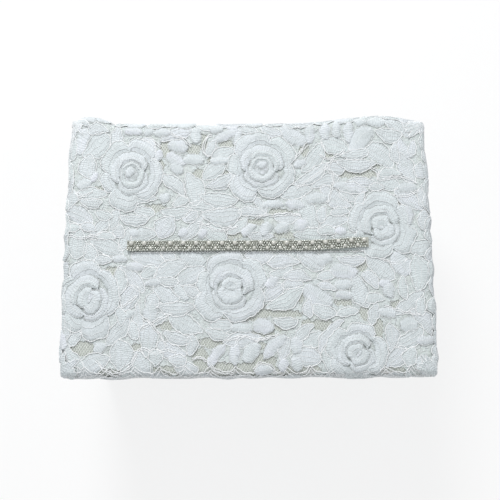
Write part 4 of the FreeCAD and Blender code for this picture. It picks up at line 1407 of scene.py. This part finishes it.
def make_cord_material(name, colour, shade, strength):
    """Twisted thread for cords and net."""
    material, tree, shader = new_material(name, roughness=0.58, sheen_weight=0.1)
    plies = place_group(tree, PINHOLES, colour=colour, gap_colour=shade, scale=560.0, amount=0.8)
    twist = waves(tree, object_place(tree), scale=420.0, distortion=2.0, way="DIAGONAL")
    dress(tree, shader, plies["Colour"], twist, strength, depth=0.0003)
    return material


def make_woven_material(name, colour, patch, roughness, scale, strength):
    """Satin, lining and tape: a weave over soft patches of colour."""
    material, tree, shader = new_material(name, roughness=roughness, sheen_weight=0.2)
    weave = place_group(tree, WEAVE, scale=scale)
    dress(tree, shader, tinted(tree, colour, patch, scale=35.0), weave["Height"], strength, depth=0.0002)
    return material


def make_fibre_material(name, colour, patch, scale, strength):
    """Board, felt and wadding: matted fibres."""
    material, tree, shader = new_material(name, roughness=0.9)
    fibres = noise(tree, object_place(tree), scale, detail=8.0, roughness=0.7)
    dress(tree, shader, tinted(tree, colour, patch, scale / 6), fibres, strength, depth=0.0006)
    return material


def make_bead_material(name, colour, patch, scale, **values):
    """A shiny bead with faint patches of a second colour."""
    material, tree, shader = new_material(name, **values)
    set_inputs(tree, shader, {"Base Color": tinted(tree, colour, patch, scale)})
    return material


TINT = make_tint_group()
PINHOLES = make_pinhole_group()
WEAVE = make_weave_group()
CLOTHWORK = make_clothwork_material()
GROUND_CLOTH = make_ground_material()
CORD_THREAD = make_cord_material("lace_cord", (0.92, 0.935, 0.945, 1), (0.56, 0.60, 0.59, 1), 0.4)
FINE_THREAD = make_cord_material("lace_fine_cord", (0.84, 0.86, 0.87, 1), (0.50, 0.54, 0.53, 1), 0.4)
NET_COTTON = make_cord_material("lace_net", (0.86, 0.88, 0.86, 1), (0.66, 0.69, 0.66, 1), 0.2)
SATIN_CLOTH = make_woven_material(
    "ivory_satin", (0.555, 0.59, 0.535, 1), (0.475, 0.51, 0.46, 1),
    roughness=0.42, scale=900.0, strength=0.15)
LINING_CLOTH = make_woven_material(
    "lining_satin", (0.76, 0.74, 0.66, 1), (0.70, 0.68, 0.60, 1),
    roughness=0.4, scale=700.0, strength=0.2)
TAPE_CLOTH = make_woven_material(
    "woven_tape", (0.52, 0.53, 0.47, 1), (0.40, 0.41, 0.36, 1),
    roughness=0.7, scale=1100.0, strength=0.4)
BOARD_FIBRE = make_fibre_material("grey_board", (0.34, 0.32, 0.29, 1), (0.26, 0.25, 0.23, 1), 900.0, 0.35)
WADDING_FIBRE = make_fibre_material("white_wadding", (0.86, 0.86, 0.84, 1), (0.78, 0.78, 0.77, 1), 350.0, 0.8)
FELT_FIBRE = make_fibre_material("ivory_felt", (0.72, 0.69, 0.61, 1), (0.64, 0.61, 0.53, 1), 700.0, 0.6)
PEARL = make_bead_material(
    "pearl_lustre", (0.69, 0.68, 0.62, 1), (0.57, 0.58, 0.54, 1), 400.0,
    roughness=0.22, coat_weight=0.6, coat_roughness=0.08)
CRYSTAL = make_bead_material(
    "silvered_crystal", (0.66, 0.68, 0.64, 1), (0.42, 0.44, 0.40, 1), 700.0, roughness=0.16, metallic=0.5)


def keep(piece, body, slot, *nodes):
    """Hands a finished piece to the frame: what carries it and what it stands for. Its finish, given as slot,
    is not used.
    """
    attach(piece, body)
    if nodes:
        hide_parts(*nodes)
    return piece


# Coverings, padding and linings


def stations(wrap):
    """Distances round a wrap for one loop of points, closer at the corners."""
    marks = []
    for part in range(8):
        start, end = wrap.starts[part], wrap.starts[part + 1]
        marks.append(np.linspace(start, end, CORNER_POINTS if part % 2 else SIDE_POINTS, endpoint=False))
    return np.concatenate(marks)


def at_height(flat, z):
    """Flat points lifted to one height."""
    return np.concatenate([flat, np.full((len(flat), 1), z)], -1)


def wall_loops(wrap, rows):
    """Loops of points round a wrap, one for each distance out from it and height."""
    core, way = wrap.bearing(stations(wrap))
    return [at_height(core + way * (wrap.edge + out), z) for out, z in rows]


def slot_loop(loop, grow=0.0):
    """The point of the slot's edge that each point of an outer loop looks at."""
    near = np.clip(loop[:, 0] - SLOT_MIDDLE[0], -SLOT_REACH, SLOT_REACH) + SLOT_MIDDLE[0]
    spine = np.stack([near, np.full(len(loop), SLOT_MIDDLE[1])], -1)
    way = loop - spine
    return spine + way / np.linalg.norm(way, axis=-1)[:, None] * (SLOT_HALF + grow)


def make_lid_satin():
    """Satin from the slot's edge over the lid's top and walls, turned in behind the rim."""
    core, way = LID.bearing(stations(LID))
    rim = LID_LOW[2]
    arc = LID.edge * QUARTER
    wall = LID.top - LID.edge - rim
    outer = [slot_loop(core) * (1 - share) + core * share for share in np.linspace(0, 1, 7)]
    for reach in (*np.linspace(0, arc, 7)[1:], *np.linspace(arc, arc + wall - 0.5, 9)[1:]):
        outer.append(core + way * reach)
    inside = LID_INSIDE - LID.half[0]
    turned_in = [
        (-0.4, rim), (inside + 0.9, rim), (inside + 0.5, rim + 0.5), (inside + 0.5, rim + TURN_IN),
        (inside, rim + TURN_IN), (inside, rim + SATIN), (-SATIN, rim + SATIN),
    ]
    loops = [LID.over_top(flat, 0.0) for flat in outer]
    loops += wall_loops(LID, turned_in)
    loops += [LID.over_top(flat, -SATIN) for flat in outer[-2::-1]]
    return add_piece(ring_mesh("lid_satin", [slacken(loop) for loop in loops]), SATIN_CLOTH)


def make_base_satin():
    """Satin under the base and up its walls, turned in over the top edge."""
    low, top = BASE_LOW[2], BASE_HIGH[2]
    inside = node_box("base_lining_right")[1][0] - BASE_HIGH[0]
    rows = [(-0.6, low), (-0.15, low + 0.15), (0, low + 0.6)]
    rows += [(0, z) for z in np.linspace(low + 6, top - 0.6, 12)]
    rows += [(-0.15, top - 0.15), (-0.6, top), (inside + 0.4, top), (inside + 0.1, top - 0.1)]
    rows += [(inside, top - 0.5), (inside, top - TURN_IN)]
    rows += [(inside + SATIN, top - TURN_IN), (inside + SATIN, top - SATIN)]
    rows += [(-SATIN, top - SATIN), (-SATIN, low + SATIN)]
    return add_piece(flat_ended_mesh("base_satin", wall_loops(BASE, rows)), SATIN_CLOTH)


def make_felt():
    """The felt pad under the base, with a soft edge."""
    low, high = node_box("base_felt_pad")
    rows = [(-0.5, low[2]), (0, low[2] + 0.4), (0, high[2] - 0.4), (-0.4, high[2])]
    loops = wall_loops(Wrap(*high, FELT_CORNER), rows)
    return add_piece(flat_ended_mesh("felt_pad", loops), FELT_FIBRE)


def make_slotted_pad(name, node, fullness, material):
    """A sheet under the lid's covering with a rounded edge and a hole for the card slot."""
    core, way = LID.bearing(stations(LID))
    low, high = node_box(node)
    lip = slot_loop(core, 0.2)
    edge = high[0] - LID.half[0] + LID.edge
    across = [lip * (1 - share) + core * share for share in np.linspace(0, 1, 8)]
    loops = [at_height(flat, high[2] - 0.1) for flat in across]
    for turn in np.linspace(0, QUARTER, 6)[1:-1]:
        z = low[2] + (high[2] - low[2]) * math.cos(turn) ** fullness
        loops.append(at_height(core + way * edge * math.sin(turn), z))
    loops.append(at_height(core + way * (edge - 0.2), low[2] + 0.05))
    loops += [at_height(flat, low[2] + 0.02) for flat in across[::-1]]
    return add_piece(ring_mesh(name, loops), material)


def make_slot_binding():
    """Satin ribbon turned over the slot's edge, from the lining up to the lace."""
    core, _ = LID.bearing(stations(LID))
    bottom, top = SLOT_LOW[2], LID.top + 0.3
    profile = [
        (-0.5, bottom), (-0.5, top - 0.5), (-0.35, top - 0.1), (0.1, top), (0.9, top - 0.1), (1.5, top - 0.5),
        (1.5, top - 0.8), (0.9, top - 0.5), (0.1, top - 0.5), (-0.05, top - 0.7), (-0.05, bottom),
    ]
    loops = [at_height(slot_loop(core, grow), z) for grow, z in profile]
    return add_piece(ring_mesh("slot_ribbon", loops), SATIN_CLOTH)


FELT_CORNER = 6.0
CARD_EDGE = 0.45
CARD_CORNERS = [(x, y, z) for z in (-1, 1) for x, y in ((-1, -1), (1, -1), (1, 1), (-1, 1))]
CARD_FACES = [(3, 2, 1, 0), (4, 5, 6, 7), (0, 1, 5, 4), (1, 2, 6, 5), (2, 3, 7, 6), (3, 0, 4, 7)]


def make_soft_card(node):
    """A lining card wrapped in satin: soft edges all round."""
    low, high = node_box(node)
    corners = (low + high) / 2 + (high - low) / 2 * np.array(CARD_CORNERS)
    mesh = bpy.data.meshes.new(node)
    mesh.from_pydata((corners * MM).tolist(), [], CARD_FACES)
    card = add_object(f"{node}_card", mesh)
    bevel = card.modifiers.new("soft_edges", "BEVEL")
    bevel.width = CARD_EDGE * MM
    bevel.segments = 3
    soft = evaluated_mesh(card)
    card.modifiers.clear()
    card.data = soft
    smooth_but_creased(soft, SKIN_CREASE)
    return paint(card, LINING_CLOTH)


# Lace pieces


def make_clothwork(name, lace, place):
    """The clothwork of a drawing as one piece, with its thread directions."""
    flat, height = np.concatenate(lace.points), np.concatenate(lace.heights)
    mesh = triangle_mesh(name, place(flat, height), np.concatenate(lace.triangles), MOTIF_CREASE)
    threads = np.concatenate(lace.threads)
    directions = np.concatenate([threads, np.zeros((len(threads), 1))], -1)
    mesh.attributes.new("thread", "FLOAT_VECTOR", "POINT").data.foreach_set("vector", directions.ravel())
    for label, values in (("tone", lace.tones), ("rim", lace.rims)):
        mesh.attributes.new(label, "FLOAT", "POINT").data.foreach_set("value", np.concatenate(values))
    return add_piece(mesh, CLOTHWORK)


def make_threads(name, paths, radius, sides, material):
    """Round threads along paths as one piece."""
    values = {"Radius": radius * MM, "Sides": sides, "Material": material}
    return run_tree(name, edge_mesh(name, paths), THREAD_TREE, values)


def make_cords(name, lace, place, fine=False):
    """The stout or the fine cords of a drawing as one piece."""
    paths = [place(flat, height) for flat, height, is_fine in lace.cords if is_fine == fine]
    style = (FINE_CORD, 3, FINE_THREAD) if fine else (CORD, 4, CORD_THREAD)
    return make_threads(name, paths, *style)


def make_net(name, threads, place):
    """The net in the openings of a drawing as one piece."""
    return make_threads(name, [place(flat, NET_HEIGHT) for flat in threads], NET_THREAD, 3, NET_COTTON)


def slit_distance(flat):
    """How far flat points lie from the middle line of the slit."""
    near = np.clip(flat[..., 0] - SLOT_MIDDLE[0], -SLOT_REACH, SLOT_REACH) + SLOT_MIDDLE[0]
    return np.hypot(flat[..., 0] - near, flat[..., 1] - SLIT_Y)


def lid_top_cloth(flat):
    """Above zero where the lid top's lace has its cloth ground."""
    spill = np.maximum(np.abs(flat) - LID.half + LID.edge, 0)
    border = LID.edge * QUARTER + 1 - LID.length_of(spill)
    slit = slit_distance(flat) - SLIT_HALF - 0.2
    return np.minimum.reduce([openness(flat, LID_OPENINGS), border, slit])


def lid_top_gaps(flat):
    """Below zero in the lid top's net openings, but not beside the slit."""
    return np.where(slit_distance(flat) > SLOT_HALF, openness(flat, LID_OPENINGS), FAR_OUTSIDE)


def lid_wall_gaps(flat):
    """Below zero in the lid walls' net openings."""
    return openness(flat, WALL_OPENINGS, LID.around / WALL_TILES)


def base_gaps(flat):
    """Below zero in the base's net openings."""
    return openness(flat, BASE_OPENINGS, BASE.around / BASE_TILES)


def lid_wall_cloth(flat):
    """Above zero where the lid walls' lace has its cloth ground, down to the scalloped hem."""
    arch = 1 - (2 * np.mod(flat[..., 0] / (LID.around / SCALLOPS), 1) - 1) ** 2
    hem = flat[..., 1] - LACE_HEM - HEM_DEPTH * (1 - arch) - 0.3
    top = LID.top - LID.edge + 0.5 - flat[..., 1]
    return np.minimum.reduce([lid_wall_gaps(flat), hem, top])


def base_cloth(flat):
    """Above zero where the base's lace has its cloth ground."""
    low = flat[..., 1] - BAND_LOW[2] - 0.4
    top = BAND_HIGH[2] - 0.4 - flat[..., 1]
    return np.minimum.reduce([base_gaps(flat), low, top])


def open_net(lace, low, high, gaps, around):
    """Net threads for the openings that the clothwork leaves free."""
    ground = Ground(low, high)
    for outline in lace.outlines:
        ground.cover(outline)
        if around:
            ground.cover(outline - (around, 0))
    return net_threads(ground, lambda flat: gaps(flat) < NET_LAP)


def make_slit_edging():
    """A row of small loops along the front lip of the slit."""
    start = SLOT_MIDDLE[0] - SLOT_REACH
    t = np.linspace(0, 1, 9)
    y = SLIT_Y - SLIT_HALF - 0.7 + 0.9 * np.sin(math.pi * t)
    z = np.full(len(t), LACE_TOP - 0.4)
    count = int(2 * SLOT_REACH / SLIT_LOOP)
    paths = [np.stack([start + (i + t) * SLIT_LOOP, y, z], -1) for i in range(count)]
    return make_threads("slit_loops", paths, FINE_CORD, 5, CORD_THREAD)


# Beaded strip: its bend at the right end, its pearls, and the small beads packed round them, in millimetres.
STRIP_BEND = 50
STRIP_PULL = 2.6
TAPE_SHARE = 0.92
BIG_PEARLS = 19
PEARL_SEAT = 0.42
SEED_SEAT = 0.4
SEED_ROWS = 5
SEED_PITCH = 2.0
SEED_SIZES = (1.5, 2.1)
SEED_WANDER = 0.25
SEED_MARGIN = 0.7
SEED_ROOM = 0.45


def strip_line(x):
    """The strip's middle line: straight, then drawn back at its right end."""
    return TAPE_MIDDLE[1] + STRIP_PULL * ease(x, TAPE_HIGH[0] - STRIP_BEND, TAPE_HIGH[0] + 4)


def make_tape():
    """The woven tape that the beads are sewn to."""
    x = np.linspace(TAPE_LOW[0], TAPE_HIGH[0], 90)
    half = TAPE_HALF[1] * TAPE_SHARE
    y = strip_line(x)
    edges = []
    for side, z in ((-1, TAPE_LOW[2]), (1, TAPE_LOW[2]), (1, TAPE_HIGH[2]), (-1, TAPE_HIGH[2])):
        edges.append(np.stack([x, y + side * half, np.full(len(x), z)], -1))
    return add_piece(capped_mesh("bead_tape", np.stack(edges, 1)), TAPE_CLOTH)


def bead_places():
    """Two staggered rows of pearls, and small beads packed round them."""
    chance = random.Random(BEAD_SEED)
    pearls, seeds = [], []
    for node, count in (("trim_big_pearls", BIG_PEARLS), ("trim_small_pearls", BIG_PEARLS - 1)):
        low, high = node_box(node)
        size = (high - low)[1]
        for x in np.linspace(low[0] + size / 2, high[0] - size / 2, count):
            y = (low + high)[1] / 2 + strip_line(x) - TAPE_MIDDLE[1]
            pearls.append((x, y, TAPE_HIGH[2] + size * PEARL_SEAT, size))
    for row in range(SEED_ROWS):
        across = row * (2 * TAPE_HALF[1] - 2 * SEED_MARGIN) / (SEED_ROWS - 1)
        y = TAPE_MIDDLE[1] - TAPE_HALF[1] + SEED_MARGIN + across
        for i in range(int(2 * TAPE_HALF[0] / SEED_PITCH)):
            along = (i + 0.5 * (row % 2)) * SEED_PITCH
            x = TAPE_LOW[0] + 0.9 + along + chance.uniform(-SEED_WANDER, SEED_WANDER)
            size = chance.uniform(*SEED_SIZES)
            seat = (x, y + strip_line(x) - TAPE_MIDDLE[1] + chance.uniform(-SEED_WANDER, SEED_WANDER))
            clear = all(math.hypot(seat[0] - p[0], seat[1] - p[1]) > p[3] / 2 + SEED_ROOM for p in pearls)
            if clear and x < TAPE_HIGH[0] - SEED_MARGIN:
                seeds.append((*seat, TAPE_HIGH[2] + size * SEED_SEAT + chance.uniform(0, 0.5), size))
    return np.array(pearls), np.array(seeds)


def make_beads(name, places, material, segments, rings, seed):
    """Beads at places that are given with their sizes, as one piece."""
    values = {"Segments": segments, "Rings": rings, "Seed": seed, "Material": material}
    return run_tree(name, point_mesh(name, places[:, :3], places[:, 3]), BEAD_TREE, values)


THREAD_TREE = make_thread_tree()
BEAD_TREE = make_bead_tree()


# Building of both bodies


def build_lid():
    """All that the lid carries."""
    pad = make_slotted_pad("lid_padding", "lid_wadding", 0.6, WADDING_FIBRE)
    padding = keep(pad, "lid", "wadding", "lid_wadding")
    satin = keep(make_lid_satin(), "lid", "satin", "lid_satin_cover")
    ribbon = keep(make_slot_binding(), "lid", "satin", "slot_binding")
    build_lid_lace()
    build_strip()
    card = make_slotted_pad("lid_lining_ceiling_card", "lid_lining_ceiling", 0.2, LINING_CLOTH)
    keep(card, "lid", "lining", "lid_lining_ceiling")
    for side in ("front", "back", "left", "right"):
        keep(make_soft_card(f"lid_lining_{side}"), "lid", "lining", f"lid_lining_{side}")


def lay_lace(name, body, lace, place, low, high, step, cloth, gaps, around, *nodes):
    """The pieces of a stretch of lace: its cloth ground, and the motifs, cords and net worked with it."""
    ground = cloth_sheet(f"{name}_ground", low, high, step, cloth, place, lace.outlines)
    keep(ground, body, "lace", *nodes)
    threads = open_net(lace, low, high, gaps, around)
    worked = [
        make_clothwork(f"{name}_motifs", lace, place),
        make_cords(f"{name}_cords", lace, place),
        make_cords(f"{name}_fine_cords", lace, place, fine=True),
        make_net(f"{name}_net", threads, place),
    ]
    for piece in worked:
        keep(piece, body, "lace")
    return ground, worked


def build_lid_lace():
    """The lace of the lid's top and of its walls."""
    high = LID.half + LID.edge * (QUARTER - 1) + 1.2
    ground, worked = lay_lace("lid_lace", "lid", draw_lid_top(), lid_top, -high, high, TOP_CLOTH_STEP,
                              lid_top_cloth, lid_top_gaps, 0, "lid_lace_cover")
    worked.append(keep(make_slit_edging(), "lid", "lace"))
    low, high = (0, LACE_HEM), (LID.around, LID.top - LID.edge + 1)
    ground, worked = lay_lace("lid_lace_wall", "lid", draw_lid_walls(), lid_wall, low, high, WALL_CLOTH_STEP,
                              lid_wall_cloth, lid_wall_gaps, LID.around)


def build_strip():
    """The tape, the pearls and the small cut beads."""
    keep(make_tape(), "lid", "tape", "trim_tape")
    pearls, seeds = bead_places()
    pearl_rows = make_beads("strip_pearls", pearls, PEARL, segments=20, rings=12, seed=1)
    keep(pearl_rows, "lid", "pearl", "trim_big_pearls", "trim_small_pearls")
    crystals = make_beads("strip_crystals", seeds, CRYSTAL, segments=6, rings=4, seed=2)
    keep(crystals, "lid", "crystal", "trim_crystals")


def build_base():
    """All that the base carries."""
    satin = keep(make_base_satin(), "base", "satin", "base_satin_cover")
    felt = keep(make_felt(), "base", "felt", "base_felt_pad")
    low, high = node_box("base_felt_pad")
    low, high = (0, BAND_LOW[2]), (BASE.around, BAND_HIGH[2])
    ground, worked = lay_lace("base_lace", "base", draw_base(), base_wall, low, high, BASE_CLOTH_STEP,
                              base_cloth, base_gaps, BASE.around, "base_lace_band")
    for side in ("floor", "front", "back", "left", "right"):
        keep(make_soft_card(f"base_lining_{side}"), "base", "lining", f"base_lining_{side}")


def paint_frame():
    """Finishes for the CAD nodes that stay as they are."""
    for name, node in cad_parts.items():
        if name.endswith("board"):
            paint(node, BOARD_FIBRE)


# Camera, light and floor

EYE_DISTANCE = 603.2
EYE_ELEVATION = 79.0
EYE_ROLL = -0.256
FOCAL_PIXELS = 728.0
PICTURE_PIXELS = 500.0
SHIFT_PIXELS = (1.945, -4.9)
SENSOR_WIDTH = 36.0
NEAREST = 0.01
WORLD_TINT = (0.96, 0.98, 1.0, 1)
WORLD_STRENGTH = 0.555
FLOOR_HALF = 3.0
FLOOR_PALE = (0.92, 0.92, 0.92, 1)
FLOOR_PATCH = (0.90, 0.90, 0.90, 1)
FLOOR_WHITE = 0.78
FLOOR_FADE = (0.4, 1.4)

# Lights: name, place and aim in metres, size in metres and power in watts.
LIGHTS = (
    ("key", (-0.36, 1.2, 1.3), (0, 0, 0.15), 0.7, 21.4),
    ("fill", (0.4, -1.2, 0.55), (0, 0, 0.1), 0.9, 1.3),
)


def make_camera():
    """The photograph's camera, fitted to the outline of the box."""
    data = bpy.data.cameras.new("camera")
    camera = add_object("camera", data)
    data.sensor_width = SENSOR_WIDTH
    data.lens = SENSOR_WIDTH * FOCAL_PIXELS / PICTURE_PIXELS
    data.shift_x, data.shift_y = (shift / PICTURE_PIXELS for shift in SHIFT_PIXELS)
    data.clip_start = NEAREST
    tilt = math.radians(EYE_ELEVATION)
    back, up = EYE_DISTANCE * math.cos(tilt), EYE_DISTANCE * math.sin(tilt)
    camera.location = (0, -back * MM, (LACE_TOP + up) * MM)
    roll = Matrix.Rotation(math.radians(EYE_ROLL), 4, "Z")
    camera.rotation_euler = (Matrix.Rotation(QUARTER - tilt, 4, "X") @ roll).to_euler()
    bpy.context.scene.camera = camera


def make_light(name, place, aim, size, power):
    """A round area light that looks at a point."""
    data = bpy.data.lights.new(name, "AREA")
    data.shape = "DISK"
    data.size = size
    data.energy = power
    lamp = add_object(name, data)
    lamp.location = place
    lamp.rotation_euler = (Vector(place) - Vector(aim)).to_track_quat("Z", "Y").to_euler()


def add_background_switch(tree, shown, lit):
    """Shows one shader to the camera, gloss and glass, and gives all other rays another."""
    path = add_node(tree, "ShaderNodeLightPath")
    shows = path.outputs["Is Camera Ray"]
    for ray in ("Is Glossy Ray", "Is Transmission Ray"):
        shows = maths(tree, "MAXIMUM", shows, path.outputs[ray])
    return mix_shaders(tree, shows, lit, shown)


def make_world():
    """Soft light all round, with plain white behind the box."""
    world = bpy.data.worlds.new("studio")
    bpy.context.scene.world = world
    world.use_nodes = True
    tree = world.node_tree
    lit = tree.nodes["Background"]
    set_inputs(tree, lit, {"Color": WORLD_TINT, "Strength": WORLD_STRENGTH})
    shown = add_node(tree, "ShaderNodeBackground", {"Color": WHITE, "Strength": 1.0})
    mixed = add_background_switch(tree, shown.outputs[0], lit.outputs[0])
    tree.links.new(mixed, tree.nodes["World Output"].inputs["Surface"])


def make_floor():
    """A plain pale floor: mostly white to the camera, all white far off, with the box's shadow kept."""
    mesh = bpy.data.meshes.new("floor")
    corners = [(x * FLOOR_HALF, y * FLOOR_HALF, 0) for x, y in ((-1, -1), (1, -1), (1, 1), (-1, 1))]
    mesh.from_pydata(corners, [], [(0, 1, 2, 3)])
    material, tree, shader = new_material("pale_floor", roughness=0.9)
    set_inputs(tree, shader, {"Base Color": tinted(tree, FLOOR_PALE, FLOOR_PATCH, scale=3.0)})
    glow = add_node(tree, "ShaderNodeEmission", {"Color": WHITE, "Strength": 1.0})
    away = add_node(tree, "ShaderNodeVectorMath", {0: object_place(tree)}, operation="LENGTH")
    share = spread(tree, away.outputs["Value"], *FLOOR_FADE, to_low=FLOOR_WHITE)
    veil = mix_shaders(tree, share, shader.outputs[0], glow.outputs[0])
    seen = add_background_switch(tree, veil, shader.outputs[0])
    tree.links.new(seen, tree.nodes["Material Output"].inputs["Surface"])
    floor = add_piece(mesh, material)


build_lid()
build_base()
paint_frame()
make_camera()
make_world()
for light in LIGHTS:
    make_light(*light)
make_floor()
bpy.context.scene.view_settings.view_transform = "Standard"
